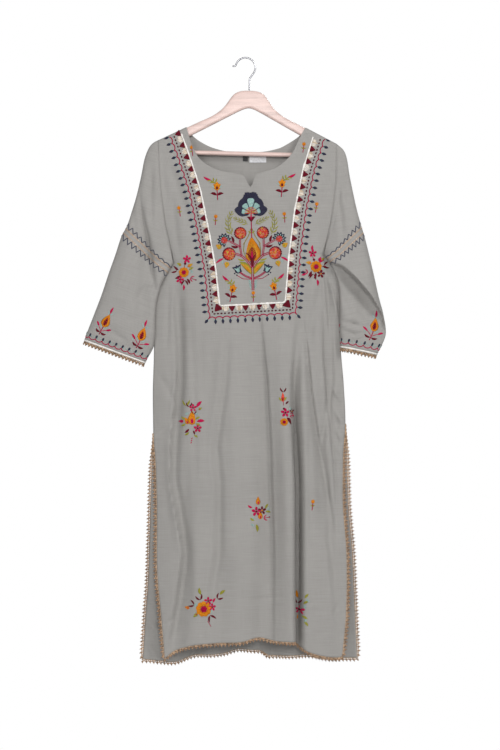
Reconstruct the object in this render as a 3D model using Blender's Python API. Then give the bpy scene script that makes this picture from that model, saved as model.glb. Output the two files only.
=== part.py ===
"""A kurta tunic hanging on a wooden coat hanger, built as its maker cuts and sews it.

Front and back panels, two sleeves, their sewn-on tapes and edging laces, two neck labels, and the hanger.
Metres, +Z up, the front faces -Y. The origin is where a rail bears: the inside of the hook's crown.
Tables are in millimetres. "drop" is the distance below the high shoulder points, x runs to the viewer's
right from the garment's centre line.
"""
import math
from collections import namedtuple

import bmesh
import bpy
import numpy as np
from mathutils import Vector

MM = 0.001

# Cloth.
WALL = 1.2              # thickness of every cloth wall
SEAM = 0.3              # gap between two pieces at a seam
LACE_WIDTH = 7.5        # crochet edging, from the cloth's edge to its tips
TAPE_WALL = 0.9         # sewn-on tapes and ribbons
GARMENT_X = 8.5         # the garment's centre line, right of the hook's crown
SHOULDER_Z = -159.0     # the high shoulder points, below the hook's crown

# Hanger.
HANGER_TILT = math.radians(1.35)    # the right arm hangs a little lower
STEM_X = 10.0           # the hook's stem, right of its crown
WOOD_THICK = 13.0
WOOD_ROUND = 5.4        # rounding of the arms' edges
WOOD_CROWN = 85.0       # the wood's highest point, above the shoulder points
ARM_SLOPE = 0.497       # drop per millimetre outwards of the arms' upper edge
ARM_START_X = 111.5     # where the arms' straight upper edge begins
ARM_START_DROP = -11.5
ARM_END_X = 222.0
ARM_END_DROP = 56.5     # to the middle of an arm's round end
ARM_END_RADIUS = 13.5
BAR_RADIUS = 5.2
BAR_DROP = 60.5
BAR_HALF = 204.0        # the bar's ends lie in blind holes in the arms
WIRE_RADIUS = 1.8
HOOK_RADIUS = 22.8      # to the middle of the wire
ON_HANGER = WALL + 0.9  # the cloth's outer face over the arms' upper edge

# One row for each level of the panels' edges. Above the underarm the edge is the armhole, then the side
# seam, then the free edges of the side slits, where the front's edge lies in and the back's lies out.
Level = namedtuple("Level", "zone left left_drop right right_drop left_apart right_apart")
LEVELS = [
    Level(0.00, -210, 29, 200, 38, 0, 0),
    Level(0.33, -205, 122, 197, 122, 0, 0),
    Level(0.66, -194, 216, 188, 206, 0, 0),
    Level(1.00, -177, 312, 174, 292, 0, 0),
    Level(1.04, -185, 326, 182, 304, 0, 0),
    Level(1.08, -194, 341, 191, 317, 0, 0),
    Level(1.13, -203, 358, 199, 333, 0, 0),
    Level(1.19, -211, 380, 206, 353, 0, 0),
    Level(1.26, -216.5, 405, 209.5, 378, 0, 0),
    Level(1.36, -219, 440, 210.5, 415, 0, 0),
    Level(1.56, -219.5, 520, 210.5, 500, 0, 0),
    Level(1.78, -222, 610, 217, 590, 0, 0),
    Level(2.00, -221, 703, 221, 681, 0, 0),
    Level(2.12, -220, 775, 220, 755, 4, 4),
    Level(2.30, -220, 870, 221, 850, 7, 6),
    Level(2.55, -222, 1010, 231, 990, 9.5, 7.5),
    Level(2.80, -221, 1135, 233, 1110, 19, 11),
    Level(3.00, -220, 1226, 231, 1212, 26, 18),
]

# Half the garment's depth, front and back, over the drop.
Depth = namedtuple("Depth", "drop front back")
DEPTHS = [
    Depth(-120, 10, 10), Depth(20, 11, 11), Depth(60, 14, 13.5), Depth(110, 18, 16), Depth(200, 23, 19),
    Depth(320, 26, 22), Depth(450, 27, 24), Depth(700, 30, 27), Depth(950, 34, 31), Depth(1240, 40, 36),
]
ARMHOLE_DEPTH = 14.0    # half the armhole's depth
BLUNT = 2.6             # exponent of the flattened sleeve rings: 2 is an ellipse
LENS = 3.0              # exponent of a panel's bow between its edges: 2 is a parabola
SLIT_DEPTH = 17.0       # how far the panels' free edges have parted at the hem
OVER_ARM = 9.0          # drop over which the cloth turns down over a hanger arm
ARM_CLOTH_DEPTH = 9.8   # half the cloth's depth just below an arm's upper edge
ARMHOLE_CLOSES = 0.45   # zone from which an armhole narrows towards the underarm
CALM_EDGE = 14          # exponent that fades the folds out at a panel's edges
FOLD_ROUND = 2.4        # exponent of a fold's bell shape: 2 is a Gaussian
FOLDS_BEGIN, FOLDS_FULL = 260.0, 420.0      # drops between which the folds come in

Point = namedtuple("Point", "x drop")
FRONT_NECK = [
    Point(-144.5, 0), Point(-138.7, 20), Point(-128, 51), Point(-113, 74), Point(-92, 90), Point(-67, 101),
    Point(-14, 112), Point(2.8, 138), Point(16, 110), Point(56, 97), Point(77, 83), Point(97, 62),
    Point(118, 20), Point(128.6, 2),
]
BACK_NECK = [
    Point(-144.5, 0), Point(-131, 17), Point(-113, 31), Point(-81, 46), Point(-44, 54), Point(-7, 56),
    Point(30, 54), Point(68, 46), Point(95, 32), Point(115, 18), Point(128.6, 2),
]
FRONT_HEM = [
    Point(-199, 1222), Point(-168, 1200), Point(-127, 1186), Point(-76, 1181), Point(-21, 1178),
    Point(20, 1169), Point(56, 1176), Point(98, 1177), Point(116, 1188), Point(133, 1200),
    Point(167, 1211), Point(205, 1216), Point(215, 1213),
]
BACK_HEM = [
    Point(-232, 1226), Point(-179, 1231), Point(-118, 1216), Point(-56, 1212), Point(-21, 1203),
    Point(25, 1205), Point(45, 1219), Point(117, 1216), Point(200, 1223), Point(248, 1222),
]

# The largest folds of each panel. A fold's line passes through four levels; its depth, half width and
# sideways lean change between them. A minus depth is a trough, a plus depth a rounded ridge.
Fold = namedtuple("Fold", "name drops xs depths widths leans", defaults=((0, 0, 0, 0),))
FRONT_FOLDS = [
    Fold("left underarm", (330, 470, 640, 950), (-160, -164, -168, -182), (-3, -11, -9, 0), (13, 16, 18, 20)),
    Fold("left hem", (700, 850, 1010, 1235), (-142, -145, -145, -176), (0, -7, -10, -12), (14, 17, 19, 20)),
    Fold("left middle", (400, 700, 880, 1190), (-84, -90, -74, -70), (-3, -5, -6, -4), (20, 18, 18, 22)),
    Fold("centre", (400, 620, 900, 1190), (4, 22, 38, 34), (-4, -9, -12, -14), (22, 24, 26, 26)),
    Fold("deep", (400, 650, 850, 1190), (120, 104, 113, 113), (-3, -15, -25, -31), (12, 10, 9, 9),
         (0, -2, -4, -5)),
    Fold("lip", (400, 650, 850, 1190), (92, 78, 86, 86), (2, 6, 9, 10), (20, 20, 18, 18), (0, 3, 9, 11)),
    Fold("right slope", (400, 660, 900, 1060), (130, 152, 178, 206), (-3, -7, -7, -1), (13, 15, 16, 18)),
    Fold("right underarm", (310, 560, 660, 760), (172, 184, 192, 203), (-3, -9, -8, 0), (12, 12, 12, 12)),
]
BACK_FOLDS = [
    Fold("left", (330, 600, 900, 1230), (-140, -150, -160, -172), (-2, -10, -13, -14), (18, 20, 22, 24)),
    Fold("left middle", (330, 600, 900, 1230), (-70, -76, -80, -84), (-2, -9, -14, -17), (22, 24, 26, 26)),
    Fold("centre", (330, 600, 900, 1230), (0, 4, 8, 12), (-3, -8, -13, -16), (22, 24, 26, 28)),
    Fold("right middle", (330, 600, 900, 1230), (74, 82, 92, 98), (-2, -10, -15, -19), (22, 23, 24, 26)),
    Fold("right", (330, 600, 900, 1230), (140, 150, 166, 182), (-2, -8, -12, -13), (18, 19, 20, 22)),
]

# One row for each ring of a sleeve: its outer point, the side seam's zone beside its underside, and half
# its depth.
Ring = namedtuple("Ring", "x drop zone depth")
LEFT_SLEEVE = [
    Ring(-218, 33, 1.008, 17), Ring(-228, 42, 1.012, 17.5), Ring(-235.5, 56, 1.015, 18),
    Ring(-242, 76, 1.018, 19), Ring(-248, 107, 1.021, 20), Ring(-259, 155, 1.024, 21),
    Ring(-270, 192, 1.027, 22), Ring(-281, 225, 1.03, 22), Ring(-294, 250, 1.08, 22),
    Ring(-308, 292, 1.13, 22), Ring(-324, 337, 1.19, 22), Ring(-340, 385, 1.26, 22),
    Ring(-358, 432, 1.36, 22), Ring(-375, 476, 1.5, 21),
]
LEFT_CUFF = [Ring(-380, 491, 0, 19), Point(-240, 543)]
RIGHT_SLEEVE = [
    Ring(207, 42.5, 1.008, 17), Ring(216, 51, 1.012, 17.5), Ring(222, 63, 1.015, 18),
    Ring(226, 80, 1.018, 19), Ring(230, 107, 1.021, 20), Ring(239, 152, 1.024, 22),
    Ring(247, 188, 1.027, 24), Ring(256, 221, 1.03, 26), Ring(265, 251, 1.08, 27),
    Ring(275, 291, 1.13, 29), Ring(286, 338, 1.19, 31), Ring(297, 388, 1.26, 32),
    Ring(308, 430, 1.36, 32), Ring(314, 472, 1.47, 30),
]
RIGHT_CUFF = [Ring(293, 524, 0, 27), Point(214.5, 506.5)]
CLEAR_OF_BODY = 1.7     # from a sleeve's underside to the side seam
UNDERARM_GAP = 1.0      # more than a seam's gap, where the armhole turns sharply
TAPE_RINGS = (8, 9)     # the sewn-on tape lies between these rings of a sleeve
TAPE_SHARES = (0.12, 0.88)
CUFF_RIBBON = (0.82, 0.9)   # the satin ribbon, as shares of the last stretch of a sleeve
BOW_RINGS = 6           # rings over which a sleeve loses the armhole's bow

# A soft trough down the front of the left sleeve: its line at a drop, and where it comes and goes.
TROUGH_X, TROUGH_DROP, TROUGH_SLANT = -234.0, 260.0, -0.06
TROUGH_DEPTH, TROUGH_WIDTH = 9.0, 16.0
TROUGH_BEGINS, TROUGH_ENDS = (230.0, 320.0), (400.0, 500.0)

# The right sleeve folds over itself: a lip runs from the underarm out to the elbow, and the cloth below
# it lies further back.
LIP_START, LIP_END = (205.0, 316.0), (306.0, 428.0)
LIP_HEIGHT, LIP_REACH = 9.0, 35.0
HOLLOW_DEPTH = 17.0
HOLLOW_BEGINS, HOLLOW_FADES = (-4.0, 16.0), (30.0, 110.0)
HOLLOW_LEFT_OVER = 0.25     # share of the hollow that stays at the sleeve's lower edge

# The ribbon that frames the yoke: a U of straight sides, from the left shoulder round to the right.
YOKE_RIBBON = [
    Point(-157, 13), Point(-112, 145), Point(-92, 242), Point(-77, 326), Point(-70, 408), Point(-64, 413),
    Point(74, 406), Point(85, 395), Point(91, 290), Point(104, 190), Point(123, 97), Point(147, 20),
]
RIBBON_WIDTH = 4.5
RIBBON_STEP = 16.0      # spacing of the ribbon's cross sections
BAND_GAP = 0.6          # between a sewn-on band and the facets of the cloth under it
LACE_FULL = 2.15        # zone by which a slit's edging has its full width
LACE_START = 0.25       # share of that width at the slit's top

# The labels that hang inside the back neck.
Label = namedtuple("Label", "name left right bottom")
LABELS = [Label("label_white", 0, 39, 79), Label("label_dark", -15, -3.5, 76)]
LABEL_GAP = 0.5
LABEL_BELOW_NECK = 1.5

SHARP = math.radians(50)    # creases sharper than this stay sharp in the shading

COLOURS = {
    "kurta_cloth": ((0.36, 0.34, 0.31), 0.85, 0.0),
    "crochet_lace": ((0.42, 0.27, 0.15), 0.9, 0.0),
    "sleeve_tape": ((0.55, 0.44, 0.34), 0.5, 0.3),
    "satin_ribbon": ((0.85, 0.82, 0.76), 0.35, 0.2),
    "label_white": ((0.85, 0.85, 0.86), 0.6, 0.0),
    "label_dark": ((0.03, 0.03, 0.04), 0.6, 0.0),
    "hanger_wood": ((0.72, 0.53, 0.47), 0.5, 0.0),
    "hook_steel": ((0.62, 0.62, 0.63), 0.2, 1.0),
}


# ---------------------------------------------------------------- helpers

def clear_scene():
    for obj in list(bpy.data.objects):
        bpy.data.objects.remove(obj)


def smooth_curve(xs, ys):
    """A curve through the points with no overshoot (monotone cubic), as a function of x."""
    xs, ys = np.asarray(xs, float), np.asarray(ys, float)
    step = np.diff(xs)
    rise = np.diff(ys) / step
    slope = np.zeros(len(xs))
    slope[0], slope[-1] = rise[0], rise[-1]
    same_way = rise[:-1] * rise[1:] > 0
    mean = 2 * rise[:-1] * rise[1:] / np.where(same_way, rise[:-1] + rise[1:], 1)
    slope[1:-1] = np.where(same_way, mean, 0)

    def at(x):
        x = np.clip(x, xs[0], xs[-1])
        i = np.clip(np.searchsorted(xs, x) - 1, 0, len(step) - 1)
        t = (x - xs[i]) / step[i]
        start = ys[i] * (1 + 2 * t) * (1 - t) ** 2 + step[i] * slope[i] * t * (1 - t) ** 2
        end = ys[i + 1] * t * t * (3 - 2 * t) - step[i] * slope[i + 1] * t * t * (1 - t)
        return start + end

    return at


def column(table, x, y):
    return smooth_curve([getattr(row, x) for row in table], [getattr(row, y) for row in table])


def smooth_step(x, start, end):
    t = np.clip((x - start) / (end - start), 0, 1)
    return t * t * (3 - 2 * t)


def blunt(across, exponent=BLUNT):
    """Height over a flattened ring's long axis: 1 in the middle, 0 at both ends (across = -1 and 1)."""
    return (1 - np.abs(np.clip(across, -1, 1)) ** exponent) ** (1 / exponent)


def unit(v):
    return v / np.maximum(np.linalg.norm(v, axis=-1, keepdims=True), 1e-9)


def material(slot):
    found = bpy.data.materials.get(slot)
    if found:
        return found
    colour, roughness, metallic = COLOURS[slot]
    made = bpy.data.materials.new(slot)
    made.use_nodes = True
    shader = made.node_tree.nodes["Principled BSDF"]
    shader.inputs["Base Color"].default_value = (*colour, 1)
    shader.inputs["Roughness"].default_value = roughness
    shader.inputs["Metallic"].default_value = metallic
    return made


def add_object(name, mesh, slot, parent):
    mesh.materials.append(material(slot))
    mesh.shade_smooth()
    mesh.set_sharp_from_angle(angle=SHARP)
    obj = bpy.data.objects.new(name, mesh)
    bpy.context.scene.collection.objects.link(obj)
    obj.parent = parent
    return obj


def add_wall(name, outer, inner, slot, parent, closed=False):
    """A cloth wall between two grids of points in millimetres, rows by columns. A closed one is a tube
    whose last column joins its first."""
    rows, columns = outer.shape[:2]
    bm = bmesh.new()
    verts = [[[bm.verts.new(p * MM) for p in row] for row in grid] for grid in (outer, inner)]
    steps = columns if closed else columns - 1
    for r in range(rows - 1):
        for c in range(steps):
            d = (c + 1) % columns
            for side in (0, 1):
                g = verts[side]
                # Both faces of the wall are split along the same diagonal, so it keeps its thickness.
                quad = [g[r][d], g[r + 1][d], g[r + 1][c], g[r][c]]
                triangles = (quad[:3], [quad[2], quad[3], quad[0]])
                for corners in triangles:
                    bm.faces.new(corners if side else corners[::-1])
    top_and_bottom = [[(r, c) for c in range(columns)] + ([(r, 0)] if closed else []) for r in (0, rows - 1)]
    ends = [] if closed else [[(r, c) for r in range(rows)] for c in (0, columns - 1)]
    for rim in top_and_bottom + ends:
        for (r, c), (s, d) in zip(rim, rim[1:]):
            bm.faces.new([verts[0][r][c], verts[0][s][d], verts[1][s][d], verts[1][r][c]])
    bmesh.ops.recalc_face_normals(bm, faces=bm.faces)
    mesh = bpy.data.meshes.new(name)
    bm.to_mesh(mesh)
    bm.free()
    return add_object(name, mesh, slot, parent)


# ---------------------------------------------------------------- hanger

def hanger_top(x):
    """Drop of the hanger arms' upper edge at a garment x, with the hanger's tilt."""
    x = np.asarray(x, float) + GARMENT_X
    side = np.where(x > STEM_X, 1.0, -1.0)
    start = STEM_X + side * ARM_START_X
    start_z = SHOULDER_Z - ARM_START_DROP
    turned_x = start * math.cos(HANGER_TILT) + start_z * math.sin(HANGER_TILT)
    turned_z = -start * math.sin(HANGER_TILT) + start_z * math.cos(HANGER_TILT)
    angle = math.atan(ARM_SLOPE) * side + HANGER_TILT
    return SHOULDER_Z - (turned_z - (x - turned_x) * np.tan(angle))


def mirrored_outline(right_half):
    """A closed outline from its right half, listed from the top middle to the bottom middle."""
    return right_half + [(-x, drop) for x, drop in reversed(right_half) if x > 0]


def arm_outline():
    upper = [(0, -WOOD_CROWN), (14, -84.6), (25, -82), (34, -77), (41, -69), (47, -60), (53, -51),
             (61, -41.5), (71, -33), (83, -25), (97, -18)]
    straight = [(x, ARM_START_DROP + ARM_SLOPE * (x - ARM_START_X)) for x in (ARM_START_X, 160, 205)]
    centre = Point(ARM_END_X - ARM_END_RADIUS, ARM_END_DROP)
    end = [(centre.x + ARM_END_RADIUS * math.cos(a), centre.drop + ARM_END_RADIUS * math.sin(a))
           for a in np.radians([-58, -30, 0, 30, 60, 90, 118])]
    lower = [(180, 47.5), (140, 26), (103, 6.5), (54, -20), (18, -39.5), (0, -46)]
    return mirrored_outline(upper + straight + end + lower)


def add_hanger_wood(parent):
    outline = arm_outline()
    bm = bmesh.new()
    half = WOOD_THICK / 2
    verts = [bm.verts.new((x * MM, -half * MM, -drop * MM)) for x, drop in outline]
    face = bm.faces.new(verts)
    grown = bmesh.ops.extrude_face_region(bm, geom=[face])
    moved = [v for v in grown["geom"] if isinstance(v, bmesh.types.BMVert)]
    bmesh.ops.translate(bm, verts=moved, vec=Vector((0, WOOD_THICK * MM, 0)))
    bmesh.ops.recalc_face_normals(bm, faces=bm.faces)
    rims = [e for e in bm.edges if abs(e.verts[0].co.y - e.verts[1].co.y) < 1e-6]
    bmesh.ops.bevel(bm, geom=rims, offset=WOOD_ROUND * MM, segments=3, profile=0.5, affect="EDGES",
                    material=-1, clamp_overlap=True)
    mesh = bpy.data.meshes.new("hanger_wood")
    bm.to_mesh(mesh)
    bm.free()
    return add_object("hanger_wood", mesh, "hanger_wood", parent)


def add_bore(wood, parent):
    """Blind holes in the arms for the bar's ends."""
    bm = bmesh.new()
    bmesh.ops.create_cone(bm, cap_ends=True, segments=24, radius1=(BAR_RADIUS + SEAM) * MM,
                          radius2=(BAR_RADIUS + SEAM) * MM, depth=2 * (BAR_HALF + SEAM) * MM)
    mesh = bpy.data.meshes.new("bar_bore")
    bm.to_mesh(mesh)
    bm.free()
    bore = bpy.data.objects.new("bar_bore", mesh)
    bpy.context.scene.collection.objects.link(bore)
    bore.parent = parent
    bore.location = (0, 0, -BAR_DROP * MM)
    bore.rotation_euler = (0, math.pi / 2, 0)
    bore.hide_render = True
    bore.display_type = "WIRE"
    cut = wood.modifiers.new("bar_bore", "BOOLEAN")
    cut.operation = "DIFFERENCE"
    cut.object = bore


def add_rod(name, points, radius, sides, slot, parent):
    """A round rod through a list of points in millimetres."""
    curve = bpy.data.curves.new(name, "CURVE")
    curve.dimensions = "3D"
    curve.bevel_depth = radius * MM
    curve.bevel_resolution = sides // 4
    curve.use_fill_caps = True
    spline = curve.splines.new("POLY")
    spline.points.add(len(points) - 1)
    for spot, (x, y, z) in zip(spline.points, points):
        spot.co = (x * MM, y * MM, z * MM, 1)
    curve.materials.append(material(slot))
    obj = bpy.data.objects.new(name, curve)
    bpy.context.scene.collection.objects.link(obj)
    obj.parent = parent
    return obj


def hook_path():
    """From the tip over the crown and down the stem; the crown's inside is the origin."""
    middle_z = -HOOK_RADIUS + WIRE_RADIUS
    tip = [(-30.5, 0, middle_z + 3), (-26.5, 0, middle_z + 2.5)]
    angles = np.radians(np.linspace(172, -38, 19))
    arc = [(HOOK_RADIUS * math.cos(a), 0, middle_z + HOOK_RADIUS * math.sin(a)) for a in angles]
    last_x, last_z = arc[-1][0], arc[-1][2]
    neck = [(last_x - 4.2, 0, last_z - 5.6), (STEM_X + 0.8, 0, last_z - 10), (STEM_X, 0, last_z - 14)]
    return tip + arc + neck + [(STEM_X, 0, SHOULDER_Z + WOOD_CROWN + SEAM)]


def add_hanger(root):
    frame = bpy.data.objects.new("hanger_frame", None)
    bpy.context.scene.collection.objects.link(frame)
    frame.parent = root
    frame.rotation_euler = (0, HANGER_TILT, 0)
    arms = bpy.data.objects.new("hanger_arms", None)
    bpy.context.scene.collection.objects.link(arms)
    arms.parent = frame
    arms.location = (STEM_X * MM, 0, SHOULDER_Z * MM)
    add_bore(add_hanger_wood(arms), arms)
    add_rod("hanger_bar", [(-BAR_HALF, 0, -BAR_DROP), (BAR_HALF, 0, -BAR_DROP)], BAR_RADIUS, 16,
            "hanger_wood", arms)
    add_rod("hook", hook_path(), WIRE_RADIUS, 8, "hook_steel", frame)


# ---------------------------------------------------------------- panels

class Panel:
    """One body panel as a surface. u runs across from -1 (viewer's left) to 1, v down from 0 at the
    shoulder and neck to 1 at the underarm, 2 at the slit tops and 3 at the hem."""

    def __init__(self, side, neck, hem, folds):
        self.side = side            # -1 for the front, 1 for the back
        self.neck = column(neck, "x", "drop")
        self.neck_ends = neck[0].x, neck[-1].x
        self.hem = column(hem, "x", "drop")
        self.folds = [self.fold_curves(fold) for fold in folds]
        self.half_depth = column(DEPTHS, "drop", "front" if side < 0 else "back")
        self.left = column(LEVELS, "zone", "left")
        self.right = column(LEVELS, "zone", "right")
        self.left_drop = column(LEVELS, "zone", "left_drop")
        self.right_drop = column(LEVELS, "zone", "right_drop")
        self.left_apart = column(LEVELS, "zone", "left_apart")
        self.right_apart = column(LEVELS, "zone", "right_apart")

    @staticmethod
    def fold_curves(fold):
        columns = (fold.xs, fold.depths, fold.widths, fold.leans)
        return [smooth_curve(fold.drops, values) for values in columns]

    def x_of(self, u, v):
        left = self.left(v) - self.left_apart(v) * self.side
        right = self.right(v) + self.right_apart(v) * self.side
        return left + (right - left) * (u + 1) / 2

    def top_drop(self, u):
        """The upper edge: over the hanger at the shoulders, the neckline between them."""
        x = self.x_of(u, 0.0)
        shoulder = hanger_top(x) - ON_HANGER
        inside = (x > self.neck_ends[0]) & (x < self.neck_ends[1])
        return np.where(inside, np.maximum(self.neck(x), shoulder), shoulder)

    def drop_of(self, u, v):
        across = (u + 1) / 2
        level = self.left_drop(v) * (1 - across) + self.right_drop(v) * across
        underarm = self.left_drop(1.0) * (1 - across) + self.right_drop(1.0) * across
        slit = self.left_drop(2.0) * (1 - across) + self.right_drop(2.0) * across
        hem = self.hem(self.x_of(u, 3.0))
        yoke = self.top_drop(u) * (1 - v) + underarm * v
        full_hem = self.left_drop(3.0) * (1 - across) + self.right_drop(3.0) * across
        skirt = slit + (level - slit) * (hem - slit) / (full_hem - slit)
        return np.where(v < 1, yoke, np.where(v < 2, level, skirt))

    def edge_depths(self, v):
        """Half the depth between the panels' edges: the armhole, the closed side seam, the parted slit.
        The second, gentler measure is the one that the cloth away from the edge follows."""
        closed = WALL + SEAM / 2
        open_top = ARM_CLOTH_DEPTH + (ARMHOLE_DEPTH - ARM_CLOTH_DEPTH) * smooth_step(v, 0, ARMHOLE_CLOSES)
        armhole = open_top * blunt(np.maximum(v - ARMHOLE_CLOSES, 0) / (1 - ARMHOLE_CLOSES))
        slit = SLIT_DEPTH * smooth_step(v, 2.0, 2.9)
        at_edge = np.maximum(np.where(v < 1, armhole, slit), closed)
        gentle = np.maximum(open_top * (1 - smooth_step(v, 0.7, 1.55)) + slit, closed)
        return at_edge, gentle

    def folds_at(self, x, drop, u):
        """How far the folds move the cloth out and sideways."""
        out, aside = 0, 0
        for line, depth, width, lean in self.folds:
            near = np.exp(-np.abs((x - line(drop)) / width(drop)) ** FOLD_ROUND)
            out = out + depth(drop) * near
            aside = aside + lean(drop) * near
        fade = (1 - np.abs(u) ** CALM_EDGE) * smooth_step(drop, FOLDS_BEGIN, FOLDS_FULL)
        return out * fade, aside * fade

    def point(self, u, v):
        u, v = np.broadcast_arrays(np.asarray(u, float), np.asarray(v, float))
        x, drop = self.x_of(u, v), self.drop_of(u, v)
        out, aside = self.folds_at(x, drop, u)
        at_edge, gentle = self.edge_depths(v)
        depth = gentle + (self.half_depth(drop) - gentle) * (1 - np.abs(u) ** LENS)
        depth = np.maximum(depth + (at_edge - gentle) * np.abs(u) ** 16 + out, at_edge / 2)
        over_arm = np.clip((drop - hanger_top(x) + ON_HANGER) / OVER_ARM, 0, 1)
        depth = np.maximum(depth * np.sqrt(1 - (1 - over_arm) ** 2), SEAM / 2)
        return np.stack([x + aside, self.side * depth, -drop], axis=-1)

    def outward(self, u, v):
        """Unit normals that point away from the garment's inside."""
        step = 0.004
        u, v = np.broadcast_arrays(np.asarray(u, float), np.asarray(v, float))
        across = self.point(np.minimum(u + step, 1), v) - self.point(np.maximum(u - step, -1), v)
        # A level's rows meet at zones 1 and 2, so the slope is taken inside the row's own zone.
        above = np.where((v == 1) | (v == 2), v, np.maximum(v - step, 0))
        down = self.point(u, np.minimum(v + step, 3)) - self.point(u, above)
        return unit(np.cross(across, down)) * self.side

    def offset(self, u, v, distance):
        """Points moved out by a distance, kept on this panel's side of the seams."""
        points = self.point(u, v) + self.outward(u, v) * distance
        points[..., 1] = self.side * np.maximum(self.side * points[..., 1], SEAM / 2)
        return points


# Rows close together where the cloth turns over a hanger arm, and where the armhole closes.
YOKE_ROWS = np.array([0, 0.003, 0.01, 0.024, 0.06, 0.13, 0.24, 0.37, 0.51, 0.65, 0.78, 0.89, 0.96, 1])
SIDE_ROWS = np.array([level.zone for level in LEVELS if 1 < level.zone <= 2])
SKIRT_ROWS = np.linspace(2, 3, 9)[1:]
ROWS = np.concatenate([YOKE_ROWS, SIDE_ROWS, SKIRT_ROWS])
# Columns close together at the neck's ends, where its edge comes down over a hanger arm.
LEFT_SHOULDER = [-1, -0.965, -0.91, -0.84, -0.76, -0.6805, -0.679, -0.6762, -0.671]
RIGHT_SHOULDER = [0.639, 0.6465, 0.6495, 0.6515, 0.72, 0.79, 0.86, 0.92, 0.967, 1]
FRONT_COLUMNS = np.array(
    LEFT_SHOULDER + [-0.652, -0.60, -0.527, -0.428, -0.302, -0.17, -0.046, 0.038, 0.1, 0.2, 0.3, 0.365,
                     0.405, 0.432, 0.452, 0.472, 0.492, 0.512, 0.54, 0.58, 0.615] + RIGHT_SHOULDER)
BACK_COLUMNS = np.array(LEFT_SHOULDER + [-0.63, -0.53, -0.42, -0.30, -0.17, -0.03, 0.11, 0.24, 0.36, 0.47,
                                         0.56, 0.61] + RIGHT_SHOULDER)


def add_panel(name, panel, columns, parent):
    u, v = np.meshgrid(columns, ROWS)
    add_wall(name, panel.point(u, v), panel.offset(u, v, -WALL), "kurta_cloth", parent)


# ---------------------------------------------------------------- sleeves

def underside(panel, side, zone):
    """A sleeve's underside, just clear of the side seam at a zone."""
    x, drop = panel.x_of(side, zone), panel.drop_of(side, zone)
    way = np.array([panel.x_of(side, zone + 0.02) - x, panel.drop_of(side, zone + 0.02) - drop])
    way = way / np.linalg.norm(way)
    return np.array([x + way[1] * side * CLEAR_OF_BODY, drop - way[0] * side * CLEAR_OF_BODY])


class Sleeve:
    """A sleeve as rings of points, from the armhole to the cuff. Each ring runs from its outer point
    down the front to the underside and back up behind."""

    def __init__(self, side, front, back, rings, cuff, crease):
        self.side = side
        rows = YOKE_ROWS
        edge = float(side)
        self.share = np.concatenate([rows, rows[-2:0:-1]])
        self.front = np.concatenate([-np.ones(len(rows)), np.ones(len(rows) - 2)])
        self.front[0] = self.front[len(rows) - 1] = 0
        start_outer = self.loop(front.point(edge, rows), back.point(edge, rows))
        start_inner = self.loop(front.offset(edge, rows, -WALL), back.offset(edge, rows, -WALL))
        points = [self.ring(Point(ring.x, ring.drop), underside(front, edge, ring.zone), ring.depth)
                  for ring in rings]
        points.append(self.ring(Point(cuff[0].x, cuff[0].drop), np.array(cuff[1]), cuff[0].depth))
        start = Point(*start_outer[0][[0, 2]] * (1, -1))
        plain = self.ring(start, np.array([start_outer[len(rows) - 1][0], -start_outer[len(rows) - 1][2]]),
                          ARMHOLE_DEPTH)
        bow = start_outer - plain
        for i, ring in enumerate(points):
            ring += bow * (1 - smooth_step(i + 1, 0, BOW_RINGS))
        grid = np.array([start_outer] + points)
        grid = crease(grid, self.share, self.front)
        out = unit(unit(grid[1] - grid[0]) + np.array([edge, 0, 0]))
        out = out * (SEAM + UNDERARM_GAP * smooth_step(self.share, 0.8, 0.97))[:, None]
        grid[0] = start_outer + out
        self.outer = grid
        self.normals = self.outward(grid)
        self.inner = grid - self.normals * WALL
        self.inner[0] = start_inner + out

    @staticmethod
    def loop(front, back):
        """A front and a back edge as one ring, with single points where they meet."""
        ends = [(front[i] + back[i]) / 2 for i in (0, -1)]
        return np.array([ends[0], *front[1:-1], ends[1], *back[-2:0:-1]])

    def ring(self, outer, under, depth):
        x = outer.x + (under[0] - outer.x) * self.share
        drop = outer.drop + (under[1] - outer.drop) * self.share
        return np.stack([x, self.front * depth * blunt(2 * self.share - 1), -drop], axis=-1)

    def outward(self, grid):
        around = np.roll(grid, -1, axis=1) - np.roll(grid, 1, axis=1)
        along = np.gradient(grid, axis=0)
        return unit(np.cross(along, around)) * self.side

    def between(self, first, second, shares, lift):
        """Rings between two rings of the wall's outer face, moved out."""
        low, high = [self.outer[i] + self.normals[i] * lift for i in (first, second)]
        return np.array([low * (1 - t) + high * t for t in shares])


def left_trough(grid, share, front):
    """The left sleeve's rings, with the trough down their front."""
    x, drop = grid[..., 0], -grid[..., 2]
    line = TROUGH_X + TROUGH_SLANT * (drop - TROUGH_DROP)
    present = smooth_step(drop, *TROUGH_BEGINS) * (1 - smooth_step(drop, *TROUGH_ENDS))
    depth = TROUGH_DEPTH * np.exp(-((x - line) / TROUGH_WIDTH) ** 2) * present
    grid[..., 1] += depth * (front < 0) * blunt(2 * share - 1, 2)
    return grid


def right_overhang(grid, share, front):
    """The right sleeve's rings, with the lip and the hollow below it."""
    x, drop = grid[..., 0], -grid[..., 2]
    start, end = np.array(LIP_START), np.array(LIP_END)
    way = (end - start) / np.linalg.norm(end - start)
    below = (drop - start[1]) * way[0] - (x - start[0]) * way[1]
    along = (x - start[0]) * way[0] + (drop - start[1]) * way[1]
    lip = LIP_HEIGHT * np.exp(-np.maximum(-below, 0) / LIP_REACH) * (1 - smooth_step(below, 0, 10))
    fading = 1 - (1 - HOLLOW_LEFT_OVER) * smooth_step(below, *HOLLOW_FADES)
    hollow = HOLLOW_DEPTH * smooth_step(below, *HOLLOW_BEGINS) * fading
    reach = smooth_step(along, -40, 10) * blunt(2 * share - 1, 2)
    grid[..., 1] += (hollow - lip) * reach * (front < 0)
    return grid


def add_sleeve(name, sleeve, parent):
    add_wall(name, sleeve.outer, sleeve.inner, "kurta_cloth", parent, closed=True)


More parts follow.
